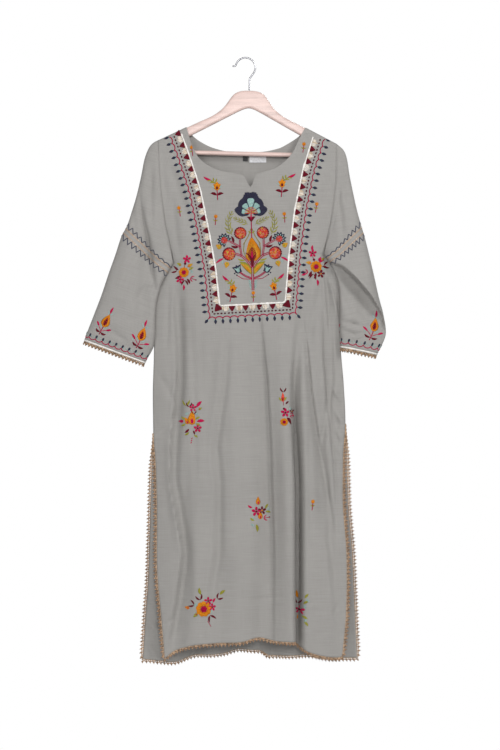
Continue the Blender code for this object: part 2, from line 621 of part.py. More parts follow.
def add_band(name, sleeve, first, second, shares, slot, parent):
    """A band round a sleeve, lying on its outer face."""
    lower, upper = [sleeve.between(first, second, shares, BAND_GAP + thick) for thick in (0, TAPE_WALL)]
    add_wall(name, upper, lower, slot, parent, closed=True)


def add_cuff_lace(name, sleeve, parent):
    """The crochet edging that carries the sleeve on past its cuff."""
    out = unit(sleeve.outer[-1] - sleeve.outer[-2])
    out = unit(out + out.mean(axis=0))
    spans = (SEAM, SEAM + LACE_WIDTH)
    outer = np.array([sleeve.outer[-1] + out * span for span in spans])
    inner = np.array([sleeve.inner[-1] + out * span for span in spans])
    add_wall(name, outer, inner, "crochet_lace", parent, closed=True)


# ---------------------------------------------------------------- edging laces, ribbon and labels

def add_panel_lace(name, panel, columns, parent):
    """One length of crochet edging: down the left slit, along the hem and up the right slit."""
    rows = np.concatenate([[2.0], SKIRT_ROWS])
    u = np.concatenate([-np.ones(len(rows) - 1), columns, np.ones(len(rows) - 1)])
    v = np.concatenate([rows[:-1], np.full(len(columns), 3.0), rows[-2::-1]])
    edge, normal = panel.point(u, v), panel.outward(u, v)
    sideways = np.zeros_like(edge)
    sideways[:, 0] = np.where(u < 0, -1.0, 1.0)
    down = unit(panel.point(u, np.full(len(u), 3.0)) - panel.point(u, np.full(len(u), 2.97)))
    on_slit, on_hem = np.abs(u) == 1, v == 3
    out = sideways * on_slit[:, None] + down * on_hem[:, None]
    # Along a slit the strip stands off sideways, with its faces front and back.
    facing = np.where((on_slit & ~on_hem)[:, None], np.array([0.0, panel.side, 0.0]), normal)
    # At the slit tops the two laces lie face to face.
    edge[:, 1] = panel.side * np.maximum(panel.side * edge[:, 1], SEAM / 2 + WALL * on_slit)
    width = LACE_WIDTH * (LACE_START + (1 - LACE_START) * smooth_step(v, 2.0, LACE_FULL))[:, None]
    outer = np.array([edge + out * SEAM, edge + out * (SEAM + width)])
    inner = outer - facing * WALL
    inner[..., 1] = panel.side * np.maximum(panel.side * inner[..., 1], SEAM / 2)
    add_wall(name, outer, inner, "crochet_lace", parent)


def locate(panel, x, drop):
    """The panel's u and v at places seen from the front."""
    x, drop = np.broadcast_arrays(np.asarray(x, float), np.asarray(drop, float))
    v = np.full(x.shape, 0.5)
    for _ in range(12):
        left, right = panel.x_of(-1.0, v), panel.x_of(1.0, v)
        u = np.clip(2 * (x - left) / (right - left) - 1, -1, 1)
        low, high = np.zeros(x.shape), np.full(x.shape, 3.0)
        for _ in range(24):
            v = (low + high) / 2
            above = panel.drop_of(u, v) < drop
            low, high = np.where(above, v, low), np.where(above, high, v)
    return u, v


def on_mesh(panel, columns, x, drop, distance):
    """Points on the panel's own flat facets, moved out by a distance."""
    u, v = locate(panel, x, drop)
    grid_u, grid_v = np.meshgrid(columns, ROWS)
    grid = panel.point(grid_u, grid_v) + panel.outward(grid_u, grid_v) * distance
    c = np.clip(np.searchsorted(columns, u) - 1, 0, len(columns) - 2)
    r = np.clip(np.searchsorted(ROWS, v) - 1, 0, len(ROWS) - 2)
    s = ((u - columns[c]) / (columns[c + 1] - columns[c]))[..., None]
    t = ((v - ROWS[r]) / (ROWS[r + 1] - ROWS[r]))[..., None]
    upper = grid[r, c] * (1 - s) + grid[r, c + 1] * s
    lower = grid[r + 1, c] * (1 - s) + grid[r + 1, c + 1] * s
    return upper * (1 - t) + lower * t


def add_yoke_ribbon(panel, parent):
    """A narrow ribbon on the front panel, made from the panel's own surface, moved out."""
    corners = np.array(YOKE_RIBBON)
    along = np.concatenate([[0], np.cumsum(np.linalg.norm(np.diff(corners, axis=0), axis=1))])
    at = np.unique(np.concatenate([along, np.arange(0, along[-1], RIBBON_STEP)]))
    line = np.stack([np.interp(at, along, corners[:, i]) for i in (0, 1)], axis=1)
    way = unit(np.gradient(line, axis=0))
    across = np.stack([way[:, 1], -way[:, 0]], axis=1) * RIBBON_WIDTH / 2
    edges = np.array([line - across, line + across])
    lower, upper = [on_mesh(panel, FRONT_COLUMNS, edges[..., 0], edges[..., 1], BAND_GAP + thick)
                    for thick in (0, TAPE_WALL)]
    add_wall("yoke_ribbon", upper, lower, "satin_ribbon", parent)


def add_label(label, panel, parent):
    """A woven label that hangs inside the back neck."""
    across = np.linspace(label.left, label.right, 4)
    top = panel.neck(across).max() + LABEL_BELOW_NECK
    x, drop = np.meshgrid(across, np.linspace(top, label.bottom, 3))
    back, front = [on_mesh(panel, BACK_COLUMNS, x, drop, -(WALL + LABEL_GAP + thick))
                   for thick in (0, TAPE_WALL)]
    add_wall(label.name, back, front, label.name, parent)


# ---------------------------------------------------------------- the whole object

def main():
    clear_scene()
    root = bpy.data.objects.new("hook_crown", None)
    bpy.context.scene.collection.objects.link(root)
    add_hanger(root)
    garment = bpy.data.objects.new("garment", None)
    bpy.context.scene.collection.objects.link(garment)
    garment.parent = root
    garment.location = (GARMENT_X * MM, 0, SHOULDER_Z * MM)

    front = Panel(-1, FRONT_NECK, FRONT_HEM, FRONT_FOLDS)
    back = Panel(1, BACK_NECK, BACK_HEM, BACK_FOLDS)
    add_panel("front_panel", front, FRONT_COLUMNS, garment)
    add_panel("back_panel", back, BACK_COLUMNS, garment)
    add_panel_lace("front_lace", front, FRONT_COLUMNS, garment)
    add_panel_lace("back_lace", back, BACK_COLUMNS, garment)
    for word, side, rings, cuff, crease in (
        ("left", -1, LEFT_SLEEVE, LEFT_CUFF, left_trough),
        ("right", 1, RIGHT_SLEEVE, RIGHT_CUFF, right_overhang),
    ):
        sleeve = Sleeve(side, front, back, rings, cuff, crease)
        add_sleeve(f"sleeve_{word}", sleeve, garment)
        add_band(f"sleeve_tape_{word}", sleeve, *TAPE_RINGS, TAPE_SHARES, "sleeve_tape", garment)
        add_band(f"cuff_ribbon_{word}", sleeve, -2, -1, CUFF_RIBBON, "satin_ribbon", garment)
        add_cuff_lace(f"cuff_lace_{word}", sleeve, garment)
    add_yoke_ribbon(front, garment)
    for label in LABELS:
        add_label(label, back, garment)


main()
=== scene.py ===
"""Looks of a kurta tunic on a wooden coat hanger: a Blender add-on that is run as a script.

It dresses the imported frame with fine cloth, embroidery, crochet edging, sewn tapes and a turned hanger.
Metres and +Z up in the frame; the tables are in millimetres. "drop" is the distance below the high shoulder
points, x runs to the viewer's right from the garment's centre line, and the front faces -Y.
"""
import functools
import math
from collections import namedtuple

import bmesh
import bpy
import numpy as np
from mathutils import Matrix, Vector
from mathutils.kdtree import KDTree


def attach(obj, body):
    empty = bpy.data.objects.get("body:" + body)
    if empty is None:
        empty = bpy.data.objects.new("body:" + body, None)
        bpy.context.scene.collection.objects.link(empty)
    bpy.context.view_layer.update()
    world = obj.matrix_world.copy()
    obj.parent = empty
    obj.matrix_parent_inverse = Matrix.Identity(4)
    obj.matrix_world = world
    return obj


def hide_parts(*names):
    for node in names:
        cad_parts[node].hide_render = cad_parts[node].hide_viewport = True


bl_info = {
    "name": "Kurta tunic on a coat hanger",
    "version": (1, 0, 0),
    "blender": (4, 5, 0),
    "location": "View3D > Sidebar > Kurta",
    "description": "Dresses the packed kurta tunic with cloth, embroidery, lace, tapes and materials",
    "category": "Add Mesh",
}

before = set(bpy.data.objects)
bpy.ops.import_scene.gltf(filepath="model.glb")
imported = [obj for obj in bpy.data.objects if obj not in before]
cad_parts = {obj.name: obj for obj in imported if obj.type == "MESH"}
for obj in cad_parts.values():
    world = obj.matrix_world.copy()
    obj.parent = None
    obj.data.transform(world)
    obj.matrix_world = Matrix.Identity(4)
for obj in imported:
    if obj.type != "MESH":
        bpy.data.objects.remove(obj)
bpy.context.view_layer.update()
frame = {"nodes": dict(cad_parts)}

MM = 0.001

# Cloth.
WALL = 1.2              # thickness of every cloth wall
CLOTH_WALL = 0.9        # thickness of the dressed cloth
SEAM = 0.3              # gap between two pieces at a seam
CLOSED = WALL + SEAM / 2    # from the seam's middle to the cloth's outer face, where a seam is closed
GARMENT_X = 8.5         # the garment's centre line, right of the hook's crown
SHOULDER_Z = -159.0     # the high shoulder points, below the hook's crown

# Hanger.
HANGER_TILT = math.radians(1.35)    # the right arm hangs a little lower
STEM_X = 10.0           # the hook's stem, right of its crown
WOOD_THICK = 13.0
WOOD_ROUND = 5.4        # rounding of the arms' edges
WOOD_CROWN = 85.0       # the wood's highest point, above the shoulder points
ARM_SLOPE = 0.497       # drop per millimetre outwards of the arms' upper edge
ARM_START_X = 111.5     # where the arms' straight upper edge begins
ARM_START_DROP = -11.5
ARM_END_X = 222.0
ARM_END_DROP = 56.5     # to the middle of an arm's round end
ARM_END_RADIUS = 13.5
BAR_RADIUS = 5.2
BAR_DROP = 60.5
BAR_HALF = 204.0        # the bar's ends lie in blind holes in the arms
WIRE_RADIUS = 1.8
HOOK_RADIUS = 22.8      # to the middle of the wire
ON_HANGER = WALL + 0.9  # the cloth's outer face over the arms' upper edge

# One row for each level of the panels' edges. Above the underarm the edge is the armhole, then the side
# seam, then the free edges of the side slits, where the front's edge lies in and the back's lies out.
Level = namedtuple("Level", "zone left left_drop right right_drop left_apart right_apart")
LEVELS = [
    Level(0.00, -210, 29, 200, 38, 0, 0),
    Level(0.33, -205, 122, 197, 122, 0, 0),
    Level(0.66, -194, 216, 188, 206, 0, 0),
    Level(1.00, -177, 312, 174, 292, 0, 0),
    Level(1.04, -185, 326, 182, 304, 0, 0),
    Level(1.08, -194, 341, 191, 317, 0, 0),
    Level(1.13, -203, 358, 199, 333, 0, 0),
    Level(1.19, -211, 380, 206, 353, 0, 0),
    Level(1.26, -216.5, 405, 209.5, 378, 0, 0),
    Level(1.36, -219, 440, 210.5, 415, 0, 0),
    Level(1.56, -219.5, 520, 210.5, 500, 0, 0),
    Level(1.78, -222, 610, 217, 590, 0, 0),
    Level(2.00, -221, 703, 221, 681, 0, 0),
    Level(2.12, -220, 775, 220, 755, 4, 4),
    Level(2.30, -220, 870, 221, 850, 7, 6),
    Level(2.55, -222, 1010, 231, 990, 9.5, 7.5),
    Level(2.80, -221, 1135, 233, 1110, 19, 11),
    Level(3.00, -220, 1226, 231, 1212, 26, 18),
]

# Half the garment's depth, front and back, over the drop.
Depth = namedtuple("Depth", "drop front back")
DEPTHS = [
    Depth(-120, 10, 10), Depth(20, 11, 11), Depth(60, 14, 13.5), Depth(110, 18, 16), Depth(200, 23, 19),
    Depth(320, 26, 22), Depth(450, 27, 24), Depth(700, 30, 27), Depth(950, 34, 31), Depth(1240, 40, 36),
]
ARMHOLE_DEPTH = 14.0    # half the armhole's depth
BLUNT = 2.6             # exponent of the flattened sleeve rings: 2 is an ellipse
LENS = 3.0              # exponent of a panel's bow between its edges: 2 is a parabola
SLIT_DEPTH = 17.0       # how far the panels' free edges have parted at the hem
OVER_ARM = 9.0          # drop over which the cloth turns down over a hanger arm
ARM_CLOTH_DEPTH = 9.8   # half the cloth's depth just below an arm's upper edge
ARMHOLE_CLOSES = 0.45   # zone from which an armhole narrows towards the underarm
BODY_CLOSES = (0.7, 1.55)   # zones between which the cloth beside the edge comes together
SLIT_OPEN = 2.9         # zone by which the free edges have parted
EDGE_HOLD = 16          # exponent that keeps the edge's own depth close to the edge
CALM_EDGE = 14          # exponent that fades the folds out at a panel's edges
FOLD_ROUND = 2.4        # exponent of a fold's bell shape: 2 is a Gaussian
FOLDS_BEGIN, FOLDS_FULL = 260.0, 420.0      # drops between which the folds come in

Point = namedtuple("Point", "x drop")
FRONT_NECK = [
    Point(-144.5, 0), Point(-138.7, 20), Point(-128, 51), Point(-113, 74), Point(-92, 90), Point(-67, 101),
    Point(-14, 112), Point(2.8, 138), Point(16, 110), Point(56, 97), Point(77, 83), Point(97, 62),
    Point(118, 20), Point(128.6, 2),
]
BACK_NECK = [
    Point(-144.5, 0), Point(-131, 17), Point(-113, 31), Point(-81, 46), Point(-44, 54), Point(-7, 56),
    Point(30, 54), Point(68, 46), Point(95, 32), Point(115, 18), Point(128.6, 2),
]
FRONT_HEM = [
    Point(-199, 1222), Point(-168, 1200), Point(-127, 1186), Point(-76, 1181), Point(-21, 1178),
    Point(20, 1169), Point(56, 1176), Point(98, 1177), Point(116, 1188), Point(133, 1200),
    Point(167, 1211), Point(205, 1216), Point(215, 1213),
]
BACK_HEM = [
    Point(-232, 1226), Point(-179, 1231), Point(-118, 1216), Point(-56, 1212), Point(-21, 1203),
    Point(25, 1205), Point(45, 1219), Point(117, 1216), Point(200, 1223), Point(248, 1222),
]

# The largest folds of each panel. A fold's line passes through four levels; its depth, half width and
# sideways lean change between them. A minus depth is a trough, a plus depth a rounded ridge.
Fold = namedtuple("Fold", "name drops xs depths widths leans", defaults=((0, 0, 0, 0),))
FRONT_FOLDS = [
    Fold("left underarm", (330, 470, 640, 950), (-160, -164, -168, -182), (-3, -11, -9, 0), (13, 16, 18, 20)),
    Fold("left hem", (700, 850, 1010, 1235), (-142, -145, -145, -176), (0, -7, -10, -12), (14, 17, 19, 20)),
    Fold("left middle", (400, 700, 880, 1190), (-84, -90, -74, -70), (-3, -5, -6, -4), (20, 18, 18, 22)),
    Fold("centre", (400, 620, 900, 1190), (4, 22, 38, 34), (-4, -9, -12, -14), (22, 24, 26, 26)),
    Fold("deep", (400, 650, 850, 1190), (120, 104, 113, 113), (-3, -15, -25, -31), (12, 10, 9, 9),
         (0, -2, -4, -5)),
    Fold("lip", (400, 650, 850, 1190), (92, 78, 86, 86), (2, 6, 9, 10), (20, 20, 18, 18), (0, 3, 9, 11)),
    Fold("right slope", (400, 660, 900, 1060), (130, 152, 178, 206), (-3, -7, -7, -1), (13, 15, 16, 18)),
    Fold("right underarm", (310, 560, 660, 760), (172, 184, 192, 203), (-3, -9, -8, 0), (12, 12, 12, 12)),
]
BACK_FOLDS = [
    Fold("left", (330, 600, 900, 1230), (-140, -150, -160, -172), (-2, -10, -13, -14), (18, 20, 22, 24)),
    Fold("left middle", (330, 600, 900, 1230), (-70, -76, -80, -84), (-2, -9, -14, -17), (22, 24, 26, 26)),
    Fold("centre", (330, 600, 900, 1230), (0, 4, 8, 12), (-3, -8, -13, -16), (22, 24, 26, 28)),
    Fold("right middle", (330, 600, 900, 1230), (74, 82, 92, 98), (-2, -10, -15, -19), (22, 23, 24, 26)),
    Fold("right", (330, 600, 900, 1230), (140, 150, 166, 182), (-2, -8, -12, -13), (18, 19, 20, 22)),
]

# One row for each ring of a sleeve: its outer point, the side seam's zone beside its underside, and half
# its depth.
Ring = namedtuple("Ring", "x drop zone depth")
LEFT_SLEEVE = [
    Ring(-218, 33, 1.008, 17), Ring(-228, 42, 1.012, 17.5), Ring(-235.5, 56, 1.015, 18),
    Ring(-242, 76, 1.018, 19), Ring(-248, 107, 1.021, 20), Ring(-259, 155, 1.024, 21),
    Ring(-270, 192, 1.027, 22), Ring(-281, 225, 1.03, 22), Ring(-294, 250, 1.08, 22),
    Ring(-308, 292, 1.13, 22), Ring(-324, 337, 1.19, 22), Ring(-340, 385, 1.26, 22),
    Ring(-358, 432, 1.36, 22), Ring(-375, 476, 1.5, 21),
]
LEFT_CUFF = [Ring(-380, 491, 0, 19), Point(-240, 543)]
RIGHT_SLEEVE = [
    Ring(207, 42.5, 1.008, 17), Ring(216, 51, 1.012, 17.5), Ring(222, 63, 1.015, 18),
    Ring(226, 80, 1.018, 19), Ring(230, 107, 1.021, 20), Ring(239, 152, 1.024, 22),
    Ring(247, 188, 1.027, 24), Ring(256, 221, 1.03, 26), Ring(265, 251, 1.08, 27),
    Ring(275, 291, 1.13, 29), Ring(286, 338, 1.19, 31), Ring(297, 388, 1.26, 32),
    Ring(308, 430, 1.36, 32), Ring(314, 472, 1.47, 30),
]
RIGHT_CUFF = [Ring(293, 524, 0, 27), Point(214.5, 506.5)]
CLEAR_OF_BODY = 1.7     # from a sleeve's underside to the side seam
TAPE_RINGS = (8, 9)     # the sewn-on tape lies between these rings of a sleeve
BOW_RINGS = 6           # rings over which a sleeve loses the armhole's bow

# A soft trough down the front of the left sleeve: its line at a drop, and where it comes and goes.
TROUGH_X, TROUGH_DROP, TROUGH_SLANT = -234.0, 260.0, -0.06
TROUGH_DEPTH, TROUGH_WIDTH = 9.0, 16.0
TROUGH_BEGINS, TROUGH_ENDS = (230.0, 320.0), (400.0, 500.0)

# The right sleeve folds over itself: a lip runs from the underarm out to the elbow, and the cloth below
# it lies further back.
LIP_LINE = [(156, 300), (189, 308), (214, 320), (245, 349), (278, 388), (306, 433), (318, 480)]
LIP_FALLS = (0.0, 4.0)      # how far past the line the cloth drops away
LIP_HEIGHT, LIP_REACH = 12.0, 40.0
LIP_GROWN = 0.22            # share of the line by which the fold has its full height
HOLLOW_DEPTH = 24.0
HOLLOW_BEGINS, HOLLOW_FADES = (-1.0, 4.0), (8.0, 62.0)
HOLLOW_LEFT_OVER = 0.25     # share of the hollow that stays at the sleeve's lower edge

# The sleeve tape's two ribbons and two zigzags, as shares of the stretch between its rings.
RIBBON_SHARES = [("upper", 0.3), ("lower", 0.72)]
ZIGZAG_SHARES = [("upper", 0.02), ("lower", 0.98)]
ZIGZAG_REACH = 0.2          # half a zigzag's height, in rings
ZIGZAG_PITCH = 16.0         # millimetres for one turn of it
ZIGZAG_STATIONS = 8         # places for one turn of it
RIBBON_SIZE = (1.5, 0.6)    # half a ribbon's width, and its height
BRAID_SIZE = (1.05, 0.8)
RIBBON_LIFT, BRAID_LIFT = 0.12, 0.15        # above the cloth
CUFF_LINE_HEIGHT = 0.8
ROUND_STATIONS, CUFF_STATIONS = 360, 300    # places round a sleeve and round its cuff
# The side, how far the motifs lean, and where they stand round the cuff, as shares.
CUFF_FLAMES = [("left", 13, (0.125, 0.415, 0.62, 0.88)), ("right", -13, (0.125, 0.53, 0.70, 0.88))]

# The narrow piping that frames the yoke: down from the left shoulder, across, and up to the right one.
PIPING_LEFT = [(-157, 13), (-140, 59), (-125, 104), (-112, 145), (-92, 242), (-77, 326), (-68, 411)]
PIPING_BOTTOM = [(-68, 411), (82, 403)]
PIPING_RIGHT = [(82, 403), (91, 290), (104, 190), (123, 97), (147, 20)]
PIPING_WIDTH, PIPING_HEIGHT = 4.5, 1.5
PIPING_UNEVEN = (0.86, 0.22)    # its usual share of the width, and how far that wanders
LACE_FULL = 2.15        # zone by which a slit's edging has its full width
LACE_START = 0.25       # share of that width at the slit's top

# Creases of the cloth: a line of places, how deep they cut (a minus value stands proud) and half their width.
# A lip of 1 is steep on the left of its line, going down, and one of -1 on the right.
Crease = namedtuple("Crease", "line depth width lip", defaults=(0,))
STEEP_SIDE = 2.4        # half width of a lip's steep side
# Shares of its length by which a crease has its full depth, and from which it fades.
CREASE_RISES, CREASE_FADES = 0.3, 0.65
CREASE_ENDS = 0.25      # share of a crease's depth at its ends
FRONT_CREASES = [
    Crease([(-205, 42), (-198, 118), (-188, 190)], 5.2, 8),
    Crease([(-196, 60), (-160, 150), (-128, 250)], 4.5, 10),
    Crease([(-176, 150), (-170, 230), (-158, 310)], 4.0, 8),
    Crease([(-168, 336), (-156, 480), (-155, 582), (-168, 731), (-169, 812), (-141, 973), (-155, 1088),
            (-168, 1165)], 8.5, 8),
    Crease([(-182, 336), (-170, 480), (-169, 582), (-182, 731), (-183, 812), (-155, 973), (-169, 1088),
            (-182, 1165)], -7.0, 10, -1),
    Crease([(-180, 330), (-186, 420), (-190, 520)], 4.5, 6),
    Crease([(-136, 430), (-126, 560), (-124, 812), (-130, 900)], 3.5, 8),
    Crease([(-222, 712), (-190, 690), (-164, 655)], 3.8, 6),
    Crease([(-214, 560), (-186, 600), (-170, 640)], 2.8, 7),
    Crease([(-46, 430), (-54, 582), (-74, 731), (-66, 812), (-67, 973), (-87, 1088), (-108, 1160)], 6.8, 7),
    Crease([(-62, 500), (-90, 731), (-82, 812), (-83, 973), (-103, 1088), (-124, 1160)], -3.2, 10, -1),
    Crease([(-40, 470), (-36, 700), (-30, 1000), (-26, 1178)], -3.2, 14),
    Crease([(24, 420), (40, 582), (48, 731), (50, 812), (55, 973), (54, 1176)], 10.5, 19, -1),
    Crease([(70, 430), (72, 700), (80, 900), (78, 1170)], -3.8, 12),
    Crease([(101, 545), (104, 700), (106, 900), (105, 1120), (104, 1260)], 13.0, 11, 1),
    Crease([(93, 560), (97, 800), (98, 980), (97, 1120), (96, 1260)], -4.4, 14, -1),
    Crease([(124, 560), (128, 740), (129, 900), (128, 1060)], -5.0, 8),
    Crease([(172, 417), (171, 516), (178, 604), (189, 714), (197, 812), (203, 930)], 7.5, 7, 1),
    Crease([(122, 430), (134, 516), (142, 604), (160, 725), (178, 812), (196, 930)], 7.5, 9, -1),
    Crease([(190, 600), (204, 622), (222, 640)], -5.0, 6, 1),
    Crease([(192, 646), (206, 670), (224, 690)], -5.0, 6, 1),
    Crease([(196, 690), (208, 714), (226, 728)], -5.0, 6, 1),
    Crease([(198, 734), (210, 752), (228, 770)], -5.0, 6, 1),
    Crease([(206, 782), (216, 800), (230, 812)], 3.2, 4),
    Crease([(166, 296), (178, 340), (192, 380), (203, 430), (206, 480)], -7.0, 6, -1),
    Crease([(164, 300), (171, 360), (177, 430), (184, 500)], -6.0, 6, -1),
    Crease([(150, 420), (142, 560), (146, 800), (150, 1100)], -3.0, 12),
    Crease([(172, 312), (146, 350), (112, 372)], 4.2, 7),
    Crease([(170, 302), (196, 316), (222, 332)], 5.2, 6),
    Crease([(170, 316), (180, 352), (184, 380)], 4.8, 6),
    Crease([(176, 326), (186, 480), (186, 582), (166, 731), (178, 812), (182, 960)], 6.0, 7),
    Crease([(172, 330), (150, 420), (130, 520)], 4.0, 9),
    Crease([(190, 400), (204, 520), (206, 620)], 3.8, 7),
    Crease([(160, 230), (128, 260), (96, 300)], 2.5, 10),
    Crease([(186, 120), (160, 170), (128, 205)], 2.8, 10),
    Crease([(200, 60), (190, 150), (182, 240)], 3.8, 8),
    Crease([(206, 560), (190, 640), (196, 760)], -2.8, 8),
    Crease([(214, 600), (200, 680), (206, 790)], 3.8, 7),
    Crease([(2, 142), (0, 240), (-6, 330)], 2.1, 11),
    Crease([(6, 140), (40, 200), (88, 240)], 2.1, 10),
    Crease([(0, 142), (-40, 190), (-86, 226)], 2.0, 10),
    Crease([(90, 170), (94, 214), (88, 260)], 3.0, 8),
    Crease([(-150, 1000), (-160, 1080), (-182, 1200)], 5.8, 9),
    Crease([(-206, 1156), (-192, 1142), (-170, 1120)], 3.0, 5),
    Crease([(-128, 700), (-132, 900), (-118, 1180)], -2.8, 12),
    Crease([(112, 1086), (128, 1092), (150, 1088)], 1.3, 4),
    Crease([(114, 1106), (134, 1110), (158, 1104)], 1.2, 4),
    Crease([(-40, 1076), (20, 1082), (92, 1072)], 1.2, 4),
    Crease([(176, 900), (180, 1010), (190, 1200)], -2.8, 10),
    Crease([(196, 830), (184, 940), (198, 1090)], 4.0, 8),
    Crease([(206, 1090), (194, 1112), (200, 1128)], 2.8, 5),
    Crease([(-104, 380), (-112, 520), (-104, 660)], 2.8, 10),
    Crease([(84, 560), (80, 760), (88, 1000)], -2.5, 8),
]
BACK_CREASES = [
    Crease([(-202, 60), (-170, 150), (-140, 250)], 3.8, 12),
    Crease([(-170, 318), (-150, 430), (-146, 560)], 4.3, 10),
    Crease([(-174, 320), (-110, 380), (-60, 420)], 2.0, 13),
    Crease([(170, 306), (150, 420), (148, 560)], 4.3, 10),
    Crease([(172, 300), (120, 360), (60, 410)], 2.0, 13),
    Crease([(192, 70), (160, 160), (130, 250)], 3.5, 12),
    Crease([(-12, 62), (-14, 140), (-10, 230)], 2.0, 5),
    Crease([(8, 62), (10, 140), (6, 230)], 1.7, 5),
    Crease([(-40, 400), (-44, 700), (-40, 1000), (-36, 1190)], -3.5, 16),
    Crease([(40, 400), (46, 700), (52, 1000), (60, 1200)], -3.5, 16),
    Crease([(-104, 420), (-112, 800), (-120, 1200)], -3.2, 15),
    Crease([(112, 420), (124, 800), (134, 1200)], -3.5, 15),
    Crease([(-214, 620), (-186, 680), (-192, 800)], 2.6, 9),
    Crease([(214, 610), (190, 690), (196, 800)], 2.6, 9),
    Crease([(-218, 1146), (-206, 1162), (-188, 1172)], 2.3, 7),
    Crease([(-226, 780), (-222, 1000), (-214, 1300)], 12.0, 26),
    Crease([(-256, 1080), (-232, 1086), (-206, 1100)], 6.0, 5),
    Crease([(-254, 1160), (-226, 1140), (-206, 1168)], 6.0, 5),
    Crease([(-242, 1168), (-228, 1200), (-204, 1236)], 5.0, 5),
    Crease([(20, 640), (14, 820), (24, 1010)], 1.9, 12),
]
LEFT_SLEEVE_CREASES = [
    Crease([(-212, 60), (-232, 130), (-246, 210)], 2.6, 8),
    Crease([(-186, 330), (-226, 300), (-258, 296)], 2.8, 8),
    Crease([(-254, 120), (-249, 181), (-235, 245), (-227, 290), (-221, 350), (-216, 410)], 5.4, 6.5),
    Crease([(-256, 200), (-246, 262), (-238, 310), (-234, 372)], 3.0, 13),
    Crease([(-206, 366), (-240, 372), (-262, 400)], 3.4, 7),
    Crease([(-326, 462), (-302, 478), (-276, 496)], 3.4, 6),
    Crease([(-340, 430), (-306, 452), (-270, 462)], -2.2, 7),
    Crease([(-286, 500), (-262, 508), (-246, 520)], 2.6, 5),
    Crease([(-262, 240), (-282, 300), (-300, 380)], -2.0, 11),
    Crease([(-222, 420), (-250, 440), (-290, 440)], 2.2, 7),
    Crease([(-226, 50), (-262, 120), (-286, 200)], 4.2, 8),
    Crease([(-214, 70), (-226, 150), (-224, 240)], 4.4, 7),
    Crease([(-270, 180), (-262, 230), (-256, 280)], 3.6, 7),
]
RIGHT_SLEEVE_CREASES = [
    Crease([(206, 60), (222, 130), (232, 210)], 4.6, 7),
    Crease([(196, 120), (210, 200), (214, 270)], 4.0, 7),
    Crease([(256, 150), (262, 200), (276, 250)], 3.4, 7),
    Crease([(212, 40), (240, 120), (262, 200)], 1.8, 9),
    Crease([(180, 306), (212, 288), (244, 262)], 2.6, 7),
    Crease([(190, 350), (220, 392), (240, 440)], 3.0, 9),
    Crease([(230, 392), (262, 430), (286, 470)], 2.6, 7),
    Crease([(222, 440), (250, 460), (280, 462)], 2.0, 6),
]
# Folds of the sleeves' fronts alone.
LEFT_SLEEVE_LIPS = [
    Crease([(-252, 150), (-246, 200), (-233, 250), (-225, 300), (-220, 360), (-215, 420)], 7.0, 13, -1),
]
RIGHT_SLEEVE_LIPS = [
    Crease([(200, 440), (232, 451), (262, 456)], 4.4, 4),
    Crease([(204, 460), (239, 476), (272, 471)], 4.8, 4),
    Crease([(226, 495), (250, 488), (272, 476)], 3.6, 4),
    Crease([(216, 380), (228, 420), (232, 440)], 2.6, 6),
]
RUMPLE = 0.7            # how far the cloth wanders between its creases
RUMPLE_WAVES = 26

SEAM_SHOWN = 0.08       # gap that shows between a sleeve and the panels' armhole edge
OVERLAP = 5.2           # how far a sleeve's lower edge hangs over the body's side seam
OVERLAP_FORWARD = 4.6   # and how far in front of it
OVERLAP_RINGS = (0.6, 2.4)      # rings over which the overlap comes in
UNDER_SHARES = (0.72, 1.0)      # shares of a sleeve's half ring that overlap
CLEAR_RINGS = {-1: -1.2, 1: 0.4}    # rings past the cuff by which each sleeve swings clear of the body
CLEAR_OVER = 1.4
SLEEVE_CALM = (0.5, 4)  # rings over which a sleeve's creases come in
BACK_SHARE = 0.7        # how deep a sleeve's creases are behind

CALM_BORDER = 18        # exponent that fades the creases out at a panel's sides
CALM_TOP = (4, 40)      # and the drops below its upper edge between which they come in

# Spacing of the dressed cloth's lines, as shares of a width, zones and rings.
FRONT_STEP, BACK_STEP = 0.023, 0.025
ROW_STEPS = (0.0138, 0.0105, 0.0088)    # zones in the yoke, the side seam and the skirt
SLEEVE_STEP = 0.026                     # share of a sleeve's half ring
RING_STEP = 0.09
# Shares of the front's width where its sharper folds need closer lines.
FOLD_COLUMNS = np.concatenate([np.arange(0.15, 0.28, 0.011), np.arange(0.42, 0.55, 0.009),
                               np.arange(0.60, 0.975, 0.0115)])

SEARCH_ROUNDS, HALVINGS = 12, 24        # steps of the search for a place's u and v

WEAVE_PITCH = 0.0011    # metres between two yarns
LABEL_PITCH = 0.0006
STRAND_PITCH = 0.85     # millimetres between two strands of a satin stitch
THREAD_LIFT = 0.1       # how far above the cloth the threads and cords lie
CROCHET_PITCH = 8.4     # length of one repeat of the crochet
LACE_SAMPLES = 4        # places along the edge for each repeat
LACE_CLEAR = 0.55       # from the seam's middle plane to the edging's middle, less half a seam
SLIT_STATIONS = 110     # places down each slit
LAST_OF_SLIT = 2.985    # zone from which the edging turns down into the hem's
HEM_FROM = 2.97         # zone from which the hem's direction is taken, down to its edge
CUFF_FROM = 0.3         # and how many rings above a cuff its direction is taken
EDGE_TURNS = 6          # how softly the edging turns at the corners

# Stage, in metres and watts.
CAMERA_PLACE = (0.010, -4.0, -0.728)
CAMERA_LENS, SENSOR_WIDTH = 83.48, 36       # millimetres
# Each lamp's name, place and size across, and where they all point.
LAMPS = [("key", (2.3, -2.4, 1.5), 1.1), ("fill", (-2.2, -3.0, 0.3), 1.8), ("front", (0.2, -4.3, 0.3), 1.6),
         ("back", (1.2, 3.4, 1.0), 1.8)]
AIM = (0.01, 0, -0.7)
FLOOR_Z, FLOOR_RADIUS = -1.95, 1.6
SKY_COLOUR, SKY_STRENGTH = (0.97, 0.98, 1.0, 1), 0.3

